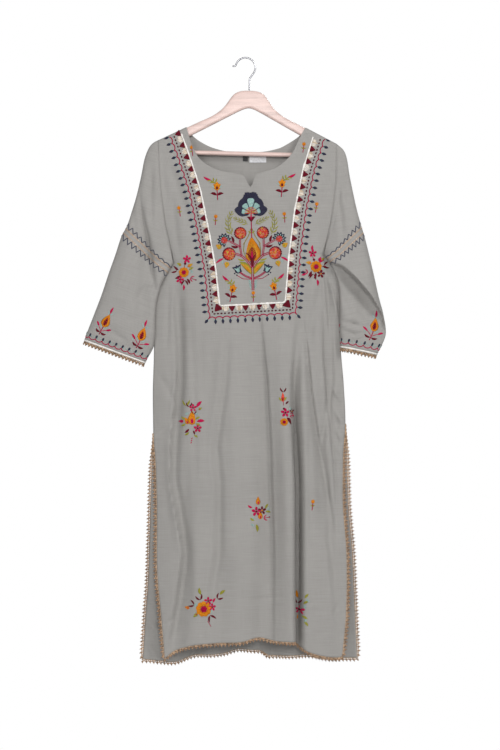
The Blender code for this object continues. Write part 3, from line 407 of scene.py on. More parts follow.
# Colours of the embroidery threads, as they look in daylight. The crochet's darker brown is painted shade of
# its holes and picots.
THREADS = {
    "lace": (246, 240, 230), "lace_brown": (172, 146, 124), "maroon": (112, 8, 34), "magenta": (208, 14, 84),
    "aqua": (166, 206, 200), "navy": (52, 52, 74), "orange": (232, 142, 22), "coral": (250, 88, 66),
    "olive": (166, 164, 62), "gold": (222, 164, 52), "cream": (250, 240, 224), "pink": (248, 120, 132),
    "plum": (150, 20, 84), "plum_dark": (84, 10, 34), "yellow": (250, 206, 92), "white": (240, 236, 228),
    "linen": (226, 206, 180), "rust": (150, 62, 34), "blush": (248, 158, 138),
}


# ---------------------------------------------------------------- maths

def smooth_curve(xs, ys):
    """A curve through the points with no overshoot (monotone cubic), as a function of x."""
    xs, ys = np.asarray(xs, float), np.asarray(ys, float)
    step = np.diff(xs)
    rise = np.diff(ys) / step
    slope = np.zeros(len(xs))
    slope[0], slope[-1] = rise[0], rise[-1]
    same_way = rise[:-1] * rise[1:] > 0
    mean = 2 * rise[:-1] * rise[1:] / np.where(same_way, rise[:-1] + rise[1:], 1)
    slope[1:-1] = np.where(same_way, mean, 0)

    def at(x):
        x = np.clip(x, xs[0], xs[-1])
        i = np.clip(np.searchsorted(xs, x) - 1, 0, len(step) - 1)
        t = (x - xs[i]) / step[i]
        start = ys[i] * (1 + 2 * t) * (1 - t) ** 2 + step[i] * slope[i] * t * (1 - t) ** 2
        end = ys[i + 1] * t * t * (3 - 2 * t) - step[i] * slope[i + 1] * t * t * (1 - t)
        return start + end

    return at


def column(table, x, y):
    """The curve of one column of a table over another."""
    return smooth_curve([getattr(row, x) for row in table], [getattr(row, y) for row in table])


def smooth_step(x, start, end):
    """0 before the start, 1 after the end, and a soft slope between."""
    t = np.clip((x - start) / (end - start), 0, 1)
    return t * t * (3 - 2 * t)


def blunt(across, exponent=BLUNT):
    """Height over a flattened ring's long axis: 1 in the middle, 0 at both ends (across = -1 and 1)."""
    return (1 - np.abs(np.clip(across, -1, 1)) ** exponent) ** (1 / exponent)


def unit(v):
    """The same directions, one long."""
    return v / np.maximum(np.linalg.norm(v, axis=-1, keepdims=True), 1e-9)


def path_lengths(points):
    """How far along a line each of its points lies."""
    return np.concatenate([[0], np.cumsum(np.linalg.norm(np.diff(points, axis=0), axis=1))])


def line_distance(x, drop, line):
    """How far each place is from a line of places, how far along the line, from 0 to 1, its nearest is, and
    whether it lies on the right of the line, going down it."""
    line = np.array(line, float)
    starts = path_lengths(line)
    best = np.full(x.shape, 1e9)
    along = np.zeros(x.shape)
    right = np.zeros(x.shape, bool)
    for i, length in enumerate(np.linalg.norm(np.diff(line, axis=0), axis=1)):
        way = (line[i + 1] - line[i]) / length
        reach = np.clip((x - line[i, 0]) * way[0] + (drop - line[i, 1]) * way[1], 0, length)
        away = np.hypot(x - line[i, 0] - way[0] * reach, drop - line[i, 1] - way[1] * reach)
        nearer = away < best
        best = np.where(nearer, away, best)
        along = np.where(nearer, (starts[i] + reach) / starts[-1], along)
        aside = (x - line[i, 0]) * way[1] - (drop - line[i, 1]) * way[0]
        right = np.where(nearer, aside > 0, right)
    return best, along, right


def creased(x, drop, creases):
    """How far the creases push the cloth in."""
    push = np.zeros(x.shape)
    for crease in creases:
        away, along, right = line_distance(x, drop, crease.line)
        full = smooth_step(along, 0, CREASE_RISES) * (1 - smooth_step(along, CREASE_FADES, 1))
        steep = np.where(right, -crease.lip, crease.lip) > 0
        width = np.where(steep, STEEP_SIDE, crease.width)
        push += crease.depth * np.exp(-(away / width) ** 2) * (CREASE_ENDS + (1 - CREASE_ENDS) * full)
    return push


def rumple(x, drop, seed):
    """Slow wandering of hanging cloth: a sum of long waves, mostly upright."""
    draw = np.random.default_rng(seed)
    total = np.zeros(x.shape)
    for _ in range(RUMPLE_WAVES):
        across, down = draw.uniform(0.02, 0.11), draw.uniform(-0.03, 0.03)
        phase, size = draw.uniform(0, 2 * math.pi), draw.uniform(0.3, 1)
        total += size * np.sin(across * x + down * drop + phase)
    return total * RUMPLE / math.sqrt(RUMPLE_WAVES / 4)


def refined(keys, step):
    """The keys, with even values filled in between so that no step is longer."""
    keys = np.asarray(keys, float)
    pieces = [np.linspace(a, b, max(int(math.ceil((b - a) / step)), 1) + 1)[:-1]
              for a, b in zip(keys, keys[1:])]
    return np.concatenate(pieces + [keys[-1:]])


def even_line(line, step):
    """Evenly spaced places along a line of places."""
    line = np.array(line, float)
    along = path_lengths(line)
    at = np.linspace(0, along[-1], max(int(round(along[-1] / step)), 1) + 1)
    return np.stack([np.interp(at, along, line[:, i]) for i in range(line.shape[1])], axis=1)


def linear(colour):
    """A daylight colour of 0 to 255 as light."""
    share = np.array(colour, float) / 255
    return np.where(share <= 0.04045, share / 12.92, ((share + 0.055) / 1.055) ** 2.4)


def hanger_top(x):
    """Drop of the hanger arms' upper edge at a garment x, with the hanger's tilt."""
    x = np.asarray(x, float) + GARMENT_X
    side = np.where(x > STEM_X, 1.0, -1.0)
    start = STEM_X + side * ARM_START_X
    start_z = SHOULDER_Z - ARM_START_DROP
    turned_x = start * math.cos(HANGER_TILT) + start_z * math.sin(HANGER_TILT)
    turned_z = -start * math.sin(HANGER_TILT) + start_z * math.cos(HANGER_TILT)
    angle = math.atan(ARM_SLOPE) * side + HANGER_TILT
    return SHOULDER_Z - (turned_z - (x - turned_x) * np.tan(angle))


def mirrored_outline(right_half):
    """A closed outline from its right half, listed from the top middle to the bottom middle."""
    return right_half + [(-x, drop) for x, drop in reversed(right_half) if x > 0]


def arm_outline():
    """The arms as one closed outline of x and drop from the hanger's middle."""
    upper = [(0, -WOOD_CROWN), (14, -84.6), (25, -82), (34, -77), (41, -69), (47, -60), (53, -51),
             (61, -41.5), (71, -33), (83, -25), (97, -18)]
    straight = [(x, ARM_START_DROP + ARM_SLOPE * (x - ARM_START_X)) for x in (ARM_START_X, 160, 205)]
    centre = Point(ARM_END_X - ARM_END_RADIUS, ARM_END_DROP)
    end = [(centre.x + ARM_END_RADIUS * math.cos(a), centre.drop + ARM_END_RADIUS * math.sin(a))
           for a in np.radians([-58, -30, 0, 30, 60, 90, 118])]
    lower = [(180, 47.5), (140, 26), (103, 6.5), (54, -20), (18, -39.5), (0, -46)]
    return mirrored_outline(upper + straight + end + lower)


def hook_path():
    """From the tip over the crown and down the stem; the crown's inside is the origin."""
    middle_z = -HOOK_RADIUS + WIRE_RADIUS
    tip = [(-30.5, 0, middle_z + 3), (-26.5, 0, middle_z + 2.5)]
    angles = np.radians(np.linspace(172, -38, 19))
    arc = [(HOOK_RADIUS * math.cos(a), 0, middle_z + HOOK_RADIUS * math.sin(a)) for a in angles]
    last_x, last_z = arc[-1][0], arc[-1][2]
    neck = [(last_x - 4.2, 0, last_z - 5.6), (STEM_X + 0.8, 0, last_z - 10), (STEM_X, 0, last_z - 14)]
    return tip + arc + neck + [(STEM_X, 0, SHOULDER_Z + WOOD_CROWN + SEAM)]


# ---------------------------------------------------------------- the cloth's forms

class Panel:
    """One body panel as a surface. u runs across from -1 (viewer's left) to 1, v down from 0 at the
    shoulder and neck to 1 at the underarm, 2 at the slit tops and 3 at the hem."""

    def __init__(self, side, neck, hem, folds):
        self.side = side            # -1 for the front, 1 for the back
        self.neck = column(neck, "x", "drop")
        self.neck_ends = neck[0].x, neck[-1].x
        self.hem = column(hem, "x", "drop")
        self.folds = [self.fold_curves(fold) for fold in folds]
        self.half_depth = column(DEPTHS, "drop", "front" if side < 0 else "back")
        self.left, self.left_drop, self.right, self.right_drop, self.left_apart, self.right_apart = (
            column(LEVELS, "zone", name) for name in Level._fields[1:])

    @staticmethod
    def fold_curves(fold):
        columns = (fold.xs, fold.depths, fold.widths, fold.leans)
        return [smooth_curve(fold.drops, values) for values in columns]

    def x_of(self, u, v):
        left = self.left(v) - self.left_apart(v) * self.side
        right = self.right(v) + self.right_apart(v) * self.side
        return left + (right - left) * (u + 1) / 2

    def top_drop(self, u):
        """The upper edge: over the hanger at the shoulders, the neckline between them."""
        x = self.x_of(u, 0.0)
        shoulder = hanger_top(x) - ON_HANGER
        inside = (x > self.neck_ends[0]) & (x < self.neck_ends[1])
        return np.where(inside, np.maximum(self.neck(x), shoulder), shoulder)

    def level_drop(self, u, v):
        """The straight line between a level's two edges."""
        across = (u + 1) / 2
        return self.left_drop(v) * (1 - across) + self.right_drop(v) * across

    def drop_of(self, u, v):
        level, slit = self.level_drop(u, v), self.level_drop(u, 2.0)
        yoke = self.top_drop(u) * (1 - v) + self.level_drop(u, 1.0) * v
        hem = self.hem(self.x_of(u, 3.0))
        skirt = slit + (level - slit) * (hem - slit) / (self.level_drop(u, 3.0) - slit)
        return np.where(v < 1, yoke, np.where(v < 2, level, skirt))

    def edge_depths(self, v):
        """Half the depth between the panels' edges: the armhole, the closed side seam, the parted slit.
        The second, gentler measure is the one that the cloth away from the edge follows."""
        open_top = ARM_CLOTH_DEPTH + (ARMHOLE_DEPTH - ARM_CLOTH_DEPTH) * smooth_step(v, 0, ARMHOLE_CLOSES)
        armhole = open_top * blunt(np.maximum(v - ARMHOLE_CLOSES, 0) / (1 - ARMHOLE_CLOSES))
        slit = SLIT_DEPTH * smooth_step(v, 2.0, SLIT_OPEN)
        at_edge = np.maximum(np.where(v < 1, armhole, slit), CLOSED)
        gentle = np.maximum(open_top * (1 - smooth_step(v, *BODY_CLOSES)) + slit, CLOSED)
        return at_edge, gentle

    def folds_at(self, x, drop, u):
        """How far the folds move the cloth out and sideways."""
        out, aside = 0, 0
        for line, depth, width, lean in self.folds:
            near = np.exp(-np.abs((x - line(drop)) / width(drop)) ** FOLD_ROUND)
            out = out + depth(drop) * near
            aside = aside + lean(drop) * near
        fade = (1 - np.abs(u) ** CALM_EDGE) * smooth_step(drop, FOLDS_BEGIN, FOLDS_FULL)
        return out * fade, aside * fade

    def point(self, u, v):
        u, v = np.broadcast_arrays(np.asarray(u, float), np.asarray(v, float))
        x, drop = self.x_of(u, v), self.drop_of(u, v)
        out, aside = self.folds_at(x, drop, u)
        at_edge, gentle = self.edge_depths(v)
        depth = gentle + (self.half_depth(drop) - gentle) * (1 - np.abs(u) ** LENS)
        depth = np.maximum(depth + (at_edge - gentle) * np.abs(u) ** EDGE_HOLD + out, at_edge / 2)
        over_arm = np.clip((drop - hanger_top(x) + ON_HANGER) / OVER_ARM, 0, 1)
        depth = np.maximum(depth * np.sqrt(1 - (1 - over_arm) ** 2), SEAM / 2)
        return np.stack([x + aside, self.side * depth, -drop], axis=-1)


# Rows close together where the cloth turns over a hanger arm, and where the armhole closes.
YOKE_ROWS = np.array([0, 0.003, 0.01, 0.024, 0.06, 0.13, 0.24, 0.37, 0.51, 0.65, 0.78, 0.89, 0.96, 1])
SIDE_ROWS = np.array([level.zone for level in LEVELS if 1 < level.zone <= 2])
SKIRT_ROWS = np.linspace(2, 3, 9)[1:]
ROWS = np.concatenate([YOKE_ROWS, SIDE_ROWS, SKIRT_ROWS])
# Columns close together at the neck's ends, where its edge comes down over a hanger arm.
LEFT_SHOULDER = [-1, -0.965, -0.91, -0.84, -0.76, -0.6805, -0.679, -0.6762, -0.671]
RIGHT_SHOULDER = [0.639, 0.6465, 0.6495, 0.6515, 0.72, 0.79, 0.86, 0.92, 0.967, 1]
FRONT_COLUMNS = np.array(
    LEFT_SHOULDER + [-0.652, -0.60, -0.527, -0.428, -0.302, -0.17, -0.046, 0.038, 0.1, 0.2, 0.3, 0.365,
                     0.405, 0.432, 0.452, 0.472, 0.492, 0.512, 0.54, 0.58, 0.615] + RIGHT_SHOULDER)
BACK_COLUMNS = np.array(LEFT_SHOULDER + [-0.63, -0.53, -0.42, -0.30, -0.17, -0.03, 0.11, 0.24, 0.36, 0.47,
                                         0.56, 0.61] + RIGHT_SHOULDER)


def underside(panel, side, zone):
    """A sleeve's underside, just clear of the side seam at a zone."""
    x, drop = panel.x_of(side, zone), panel.drop_of(side, zone)
    way = np.array([panel.x_of(side, zone + 0.02) - x, panel.drop_of(side, zone + 0.02) - drop])
    way = way / np.linalg.norm(way)
    return np.array([x + way[1] * side * CLEAR_OF_BODY, drop - way[0] * side * CLEAR_OF_BODY])


def left_trough(grid, share, front):
    """The left sleeve's rings, with the trough down their front."""
    x, drop = grid[..., 0], -grid[..., 2]
    line = TROUGH_X + TROUGH_SLANT * (drop - TROUGH_DROP)
    present = smooth_step(drop, *TROUGH_BEGINS) * (1 - smooth_step(drop, *TROUGH_ENDS))
    depth = TROUGH_DEPTH * np.exp(-((x - line) / TROUGH_WIDTH) ** 2) * present
    grid[..., 1] += depth * (front < 0) * blunt(2 * share - 1, 2)
    return grid


def right_overhang(grid, share, front):
    """The right sleeve's rings, with the lip and the hollow below it. Here the lip follows its curve and
    falls steeply; the solid's is straight and softer."""
    x, drop = grid[..., 0], -grid[..., 2]
    away, along, right = line_distance(x, drop, LIP_LINE)
    below = np.where(right, -away, away)
    lip = LIP_HEIGHT * np.exp(-np.maximum(-below, 0) / LIP_REACH) * (1 - smooth_step(below, *LIP_FALLS))
    fading = 1 - (1 - HOLLOW_LEFT_OVER) * smooth_step(below, *HOLLOW_FADES)
    hollow = HOLLOW_DEPTH * smooth_step(below, *HOLLOW_BEGINS) * fading
    reach = smooth_step(along, 0, LIP_GROWN) * blunt(2 * share - 1, 2)
    grid[..., 1] += (hollow - lip) * reach * (front < 0)
    return grid


def locate(panel, x, drop):
    """The panel's u and v at places seen from straight in front."""
    x, drop = np.broadcast_arrays(np.asarray(x, float), np.asarray(drop, float))
    v = np.full(x.shape, 0.5)
    for _ in range(SEARCH_ROUNDS):
        left, right = panel.x_of(-1.0, v), panel.x_of(1.0, v)
        u = np.clip(2 * (x - left) / (right - left) - 1, -1, 1)
        low, high = np.zeros(x.shape), np.full(x.shape, 3.0)
        for _ in range(HALVINGS):
            v = (low + high) / 2
            above = panel.drop_of(u, v) < drop
            low, high = np.where(above, v, low), np.where(above, high, v)
    return u, v


def refine_rows():
    """The panels' rows, each zone with its own spacing."""
    zones = (ROWS[ROWS <= 1], ROWS[(ROWS >= 1) & (ROWS <= 2)], ROWS[ROWS >= 2])
    return np.unique(np.concatenate([refined(keys, step) for keys, step in zip(zones, ROW_STEPS)]))


class Cloth:
    """A piece of cloth as a fine grid: its points and outward normals in millimetres, rows by columns,
    and its flat size, in metres, for the weave. A tube's last column lies on its first."""

    def __init__(self, us, vs, points, outward, tube=False):
        self.us, self.vs, self.points, self.tube = us, vs, points, tube
        if tube:
            wide = np.concatenate([points[:, -2:-1], points, points[:, 1:2]], axis=1)
            across = np.gradient(wide, axis=1)[:, 1:-1]
        else:
            across = np.gradient(points, axis=1)
        normals = unit(np.cross(across, np.gradient(points, axis=0)))
        if (normals * outward).sum() < 0:
            normals = -normals
        self.normals = normals
        widths = np.linalg.norm(np.diff(points, axis=1), axis=2)
        along = np.pad(np.cumsum(widths, axis=1), ((0, 0), (1, 0)))
        along = along - along[:, -1:] / 2
        length = points[-1].mean(axis=0) - points[0].mean(axis=0)
        self.flat = np.stack([along, points @ unit(-length)], axis=-1) * MM

    def at(self, u, v, lift=0.0):
        """Points over places of the grid, and the normals there."""
        u, v = np.broadcast_arrays(np.asarray(u, float), np.asarray(v, float))
        if self.tube:
            u = u % 1.0
        c = np.clip(np.searchsorted(self.us, u) - 1, 0, len(self.us) - 2)
        r = np.clip(np.searchsorted(self.vs, v) - 1, 0, len(self.vs) - 2)
        s = np.clip((u - self.us[c]) / (self.us[c + 1] - self.us[c]), 0, 1)[..., None]
        t = np.clip((v - self.vs[r]) / (self.vs[r + 1] - self.vs[r]), 0, 1)[..., None]
        found = []
        for grid in (self.points, self.normals):
            upper = grid[r, c] * (1 - s) + grid[r, c + 1] * s
            lower = grid[r + 1, c] * (1 - s) + grid[r + 1, c + 1] * s
            found.append(upper * (1 - t) + lower * t)
        normals = unit(found[1])
        return found[0] + normals * lift, normals


class PanelCloth(Cloth):
    """The front or the back panel's cloth, with its creases."""

    def __init__(self, panel, columns, step, creases, seed):
        self.panel = panel
        us, vs = refined(columns, step), refine_rows()
        u, v = np.meshgrid(us, vs)
        points = panel.point(u, v)
        x, drop = points[..., 0], -points[..., 2]
        calm = (1 - np.abs(u) ** CALM_BORDER) * smooth_step(drop - hanger_top(x), *CALM_TOP)
        push = (creased(x, drop, creases) - rumple(x, drop, seed)) * calm
        depth = panel.side * points[..., 1]
        points[..., 1] = panel.side * np.maximum(depth - push, np.minimum(depth, CLOSED))
        super().__init__(us, vs, points, np.array([0.0, panel.side, 0.0]))


class SleeveCloth(Cloth):
    """A sleeve from the armhole to the cuff. v counts its rings, and u runs round from the outer point, down
    the front to the underside at a half, and back up behind to 1."""

    def __init__(self, side, front, back, rings, cuff, crease, creases, lips, seed):
        edge = float(side)
        shares = refined(YOKE_ROWS, SLEEVE_STEP)
        self.under_column = len(shares) - 1
        us = np.concatenate([shares / 2, 1 - shares[-2::-1] / 2])
        share = np.concatenate([shares, shares[-2::-1]])
        facing = np.where(us < 0.5, -1.0, 1.0)
        facing[[0, self.under_column, -1]] = 0
        start = self.armhole(front, back, edge, shares)
        outers, unders, depths = self.ring_table(start, front, edge, rings, cuff)
        count = np.arange(len(depths))
        vs = refined(count, RING_STEP)
        outer = np.stack([smooth_curve(count, outers[:, i])(vs) for i in (0, 1)], axis=1)
        under = np.stack([smooth_curve(count, unders[:, i])(vs) for i in (0, 1)], axis=1)
        flat = outer[:, None] + (under - outer)[:, None] * share[None, :, None]
        bulge = facing * blunt(2 * share - 1) * smooth_curve(count, depths)(vs)[:, None]
        grid = np.stack([flat[..., 0], bulge, -flat[..., 1]], axis=-1)
        grid += (start - grid[0]) * (1 - smooth_step(vs, 0, BOW_RINGS))[:, None, None]
        grid = crease(grid, share, facing)
        x, drop = grid[..., 0], -grid[..., 2]
        calm = blunt(2 * share - 1, 2) * smooth_step(vs, *SLEEVE_CALM)[:, None]
        push = (creased(x, drop, creases) - rumple(x, drop, seed)) * calm
        push_front = push + creased(x, drop, lips) * calm
        grid[..., 1] += np.where(facing < 0, push_front, -BACK_SHARE * push * (facing > 0))
        out = unit(unit(grid[2] - grid[0]) + np.array([edge, 0, 0]))
        grid[0] = start + out * SEAM_SHOWN
        beside = self.beside_body(side, share, vs, len(depths))
        grid[..., 0] -= edge * OVERLAP * beside
        grid[..., 1] -= OVERLAP_FORWARD * beside
        super().__init__(us, vs, grid, np.array([edge, 0, 0]), tube=True)
        middle = (outer + under)[:, None] / 2
        away = np.stack([x - middle[..., 0], grid[..., 1], -(drop - middle[..., 1])], axis=-1)
        if (self.normals * away).sum() < 0:
            self.normals = -self.normals

    def armhole(self, front, back, edge, shares):
        """The sleeve's first ring: down the front panel's armhole edge and back up the back panel's."""
        start_front, start_back = front.point(edge, shares), back.point(edge, shares)
        start = np.concatenate([start_front, start_back[-2::-1]])
        start[0] = start[-1] = (start_front[0] + start_back[0]) / 2
        start[self.under_column] = (start_front[-1] + start_back[-1]) / 2
        return start

    def ring_table(self, start, front, edge, rings, cuff):
        """Each ring's outer point, underside and half depth, from the armhole to the cuff."""
        first = (start[0][[0, 2]] * (1, -1), start[self.under_column][[0, 2]] * (1, -1))
        outers = [first[0]] + [np.array([ring.x, ring.drop]) for ring in rings + cuff[:1]]
        unders = [first[1]] + [underside(front, edge, ring.zone) for ring in rings] + [np.array(cuff[1])]
        depths = [ARMHOLE_DEPTH] + [ring.depth for ring in rings] + [cuff[0].depth]
        return np.array(outers), np.array(unders), depths

    @staticmethod
    def beside_body(side, share, vs, last):
        """Where the sleeve's lower edge hangs just in front of the side seam. Only the left one swings clear
        of the body before its cuff."""
        beside = smooth_step(share, *UNDER_SHARES) * smooth_step(vs, *OVERLAP_RINGS)[:, None]
        clear = last + CLEAR_RINGS[side]
        return beside * (1 - smooth_step(vs, clear - CLEAR_OVER, clear))[:, None]


@functools.lru_cache(maxsize=None)
def panel_of(name):
    """The front's or the back's surface."""
    if name == "front":
        return Panel(-1, FRONT_NECK, FRONT_HEM, FRONT_FOLDS)
    return Panel(1, BACK_NECK, BACK_HEM, BACK_FOLDS)


@functools.lru_cache(maxsize=None)
def cloth_of(name):
    """The garment's four pieces of cloth, each worked out once."""
    front, back = panel_of("front"), panel_of("back")
    if name == "front":
        return PanelCloth(front, np.union1d(FRONT_COLUMNS, FOLD_COLUMNS), FRONT_STEP, FRONT_CREASES, 3)
    if name == "back":
        return PanelCloth(back, BACK_COLUMNS, BACK_STEP, BACK_CREASES, 8)
    if name == "left":
        return SleeveCloth(-1, front, back, LEFT_SLEEVE, LEFT_CUFF, left_trough, LEFT_SLEEVE_CREASES,
                           LEFT_SLEEVE_LIPS, 5)
    return SleeveCloth(1, front, back, RIGHT_SLEEVE, RIGHT_CUFF, right_overhang, RIGHT_SLEEVE_CREASES,
                       RIGHT_SLEEVE_LIPS, 6)


def to_frame(points):
    """Garment millimetres to the frame's metres."""
    return (np.asarray(points) + np.array([GARMENT_X, 0, SHOULDER_Z])) * MM


# ---------------------------------------------------------------- meshes

SHARP = math.radians(60)    # edges sharper than this aren't shaded smooth
CORD_BELOW = 0.35           # how far a cord's section reaches below the cloth, as a share of its height
PIECES = {}                 # the finished pieces, by name


def settings():
    """The scene's KurtaSettings."""
    return bpy.context.scene.kurta


def grid_mesh(name, points, flat=None, wrap_columns=False, wrap_rows=False):
    """A mesh from a grid of points in millimetres. A wrapped side's last line lies on its first."""
    rows, columns = points.shape[:2]
    bm = bmesh.new()
    bmesh.ops.create_grid(bm, x_segments=columns - 1, y_segments=rows - 1, size=0.5)
    mesh = bpy.data.meshes.new(name)
    bm.to_mesh(mesh)
    place = np.empty(len(mesh.vertices) * 3)
    mesh.vertices.foreach_get("co", place)
    place = place.reshape(-1, 3)
    column = np.rint((place[:, 0] + 0.5) * (columns - 1)).astype(int)
    row = np.rint((0.5 - place[:, 1]) * (rows - 1)).astype(int)
    mesh.vertices.foreach_set("co", to_frame(points[row, column]).ravel())
    if flat is not None:
        corners = np.empty(len(mesh.loops), np.int32)
        mesh.loops.foreach_get("vertex_index", corners)
        layer = mesh.uv_layers.new(name="flat")
        layer.data.foreach_set("uv", flat[row, column][corners].ravel())
    bm.clear()
    bm.from_mesh(mesh)
    if wrap_columns or wrap_rows:
        bmesh.ops.remove_doubles(bm, verts=bm.verts, dist=1e-6)
    return bm, mesh


def face_along(bm, directions):
    """Turns the whole mesh so that its faces look along the given directions on the whole."""
    bm.normal_update()
    total = sum(f.normal.dot(directions(f.calc_center_median())) for f in bm.faces)
    if total < 0:
        bmesh.ops.reverse_faces(bm, faces=bm.faces)


def link_object(name, mesh, material):
    """A new object of the mesh, in the scene."""
    mesh.materials.append(material)
    obj = bpy.data.objects.new(name, mesh)
    bpy.context.scene.collection.objects.link(obj)
    return obj


def finish_mesh(bm, mesh, name, material, smooth=True):
    """Ends a mesh's editing and makes its object."""
    bm.to_mesh(mesh)
    bm.free()
    if smooth:
        mesh.shade_smooth()
        mesh.set_sharp_from_angle(angle=SHARP)
    return link_object(name, mesh, material)


def placed(obj, slot, *nodes):
    """A finished piece: its slot, which is not used, the nodes it stands for, and the body it rides on."""
    if nodes:
        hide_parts(*nodes)
    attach(obj, "root")
    PIECES[obj.name] = obj
    return obj


def add_cloth(name, cloth, node, material):
    """A thin shell of cloth on a piece's form."""
    bm, mesh = grid_mesh(name, cloth.points, cloth.flat, wrap_columns=cloth.tube)
    spots = to_frame(cloth.points[::4, ::4]).reshape(-1, 3)
    facing = cloth.normals[::4, ::4].reshape(-1, 3)
    tree = KDTree(len(spots))
    for i, spot in enumerate(spots):
        tree.insert(spot, i)
    tree.balance()
    face_along(bm, lambda centre: Vector(facing[tree.find(centre)[1]]))
    obj = finish_mesh(bm, mesh, name, material)
    wall = obj.modifiers.new("wall", "SOLIDIFY")
    wall.thickness = settings().cloth_wall
    wall.offset = -1
    wall.use_quality_normals = True
    return placed(obj, "kurta_cloth", node)


def swept(centres, normals, way, side, up, half_width, height):
    """A cross section carried along a line: a grid of stations by section points."""
    across = unit(np.cross(normals, way))
    half_width = np.broadcast_to(half_width, len(centres))[:, None, None]
    height = np.broadcast_to(height, len(centres))[:, None, None]
    return (centres[:, None] + across[:, None] * side[None, :, None] * half_width
            + normals[:, None] * up[None, :, None] * height)


def add_cord(name, centres, normals, half_width, height, material, count=10, closed=False):
    """A flattened cord or ribbon that lies on the cloth, as its own piece. An open one has closed ends."""
    if closed:
        wide = np.concatenate([centres[-2:-1], centres, centres[1:2]])
        way = unit(np.gradient(wide, axis=0)[1:-1])
    else:
        way = unit(np.gradient(centres, axis=0))
        taper = np.ones(len(centres))
        taper[0] = taper[-1] = 0.0
        half_width, height = half_width * taper, height * taper
    angle = np.arange(count + 1) * 2 * math.pi / count
    side, up = np.cos(angle), np.maximum(np.sin(angle), -CORD_BELOW)
    points = swept(centres, normals, way, side, up, half_width, height)
    length = path_lengths(centres)
    round_share = np.linspace(0, 2 * math.pi, count + 1) * np.max(half_width) / 2
    flat = np.stack(np.broadcast_arrays(length[:, None], round_share[None]), axis=-1) * MM
    bm, mesh = grid_mesh(name, points, flat, wrap_columns=True, wrap_rows=closed)
    bmesh.ops.dissolve_degenerate(bm, edges=bm.edges, dist=1e-7)
    bmesh.ops.recalc_face_normals(bm, faces=bm.faces)
    return finish_mesh(bm, mesh, name, material)


# ---------------------------------------------------------------- threads

# How wide a stitch is along its length, at its rings between two closed tips.
FORMS = {
    "leaf": ((0.08, 0.28, 0.5, 0.74, 0.93), (0.36, 0.86, 1.0, 0.74, 0.26)),
    "drop": ((0.05, 0.2, 0.42, 0.68, 0.9), (0.5, 0.95, 1.0, 0.62, 0.2)),
    "oval": ((0.06, 0.27, 0.5, 0.73, 0.94), (0.5, 0.9, 1.0, 0.9, 0.5)),
    "wedge": ((0.02, 0.1, 0.36, 0.66, 0.93), (0.98, 1.0, 0.78, 0.48, 0.14)),
    "petal": ((0.03, 0.14, 0.4, 0.7, 0.95), (0.62, 1.0, 0.9, 0.52, 0.18)),
    "tooth": ((0.02, 0.5, 0.96), (1.0, 0.56, 0.1)),
    "link": ((0.12, 0.5, 0.88), (0.7, 1.0, 0.7)),
    "bar": ((0.04, 0.96), (1.0, 1.0)),
}
SIDES = {"link": 6, "bar": 5, "tooth": 5}     # the other stitches have eight
CHAIN_LAP = 0.18        # share of its length by which a chain's link laps over the next
SHADE_SPREAD = 0.09     # how far a stitch's shade wanders
Stitch = namedtuple("Stitch", "start end width colour bend height form")


@functools.lru_cache(maxsize=None)
def patch_template(rings, sides):
    """A ball's ring and side numbers for each of its points, and its faces."""
    bm = bmesh.new()
    bmesh.ops.create_uvsphere(bm, u_segments=sides, v_segments=rings + 1, radius=1)
    places = np.array([v.co for v in bm.verts])
    ring = np.rint(np.arccos(np.clip(places[:, 2], -1, 1)) * (rings + 1) / math.pi).astype(int)
    side = np.rint(np.arctan2(places[:, 1], places[:, 0]) * sides / (2 * math.pi)).astype(int) % sides
    faces = [[v.index for v in face.verts] for face in bm.faces]
    bm.free()
    return ring, side, faces


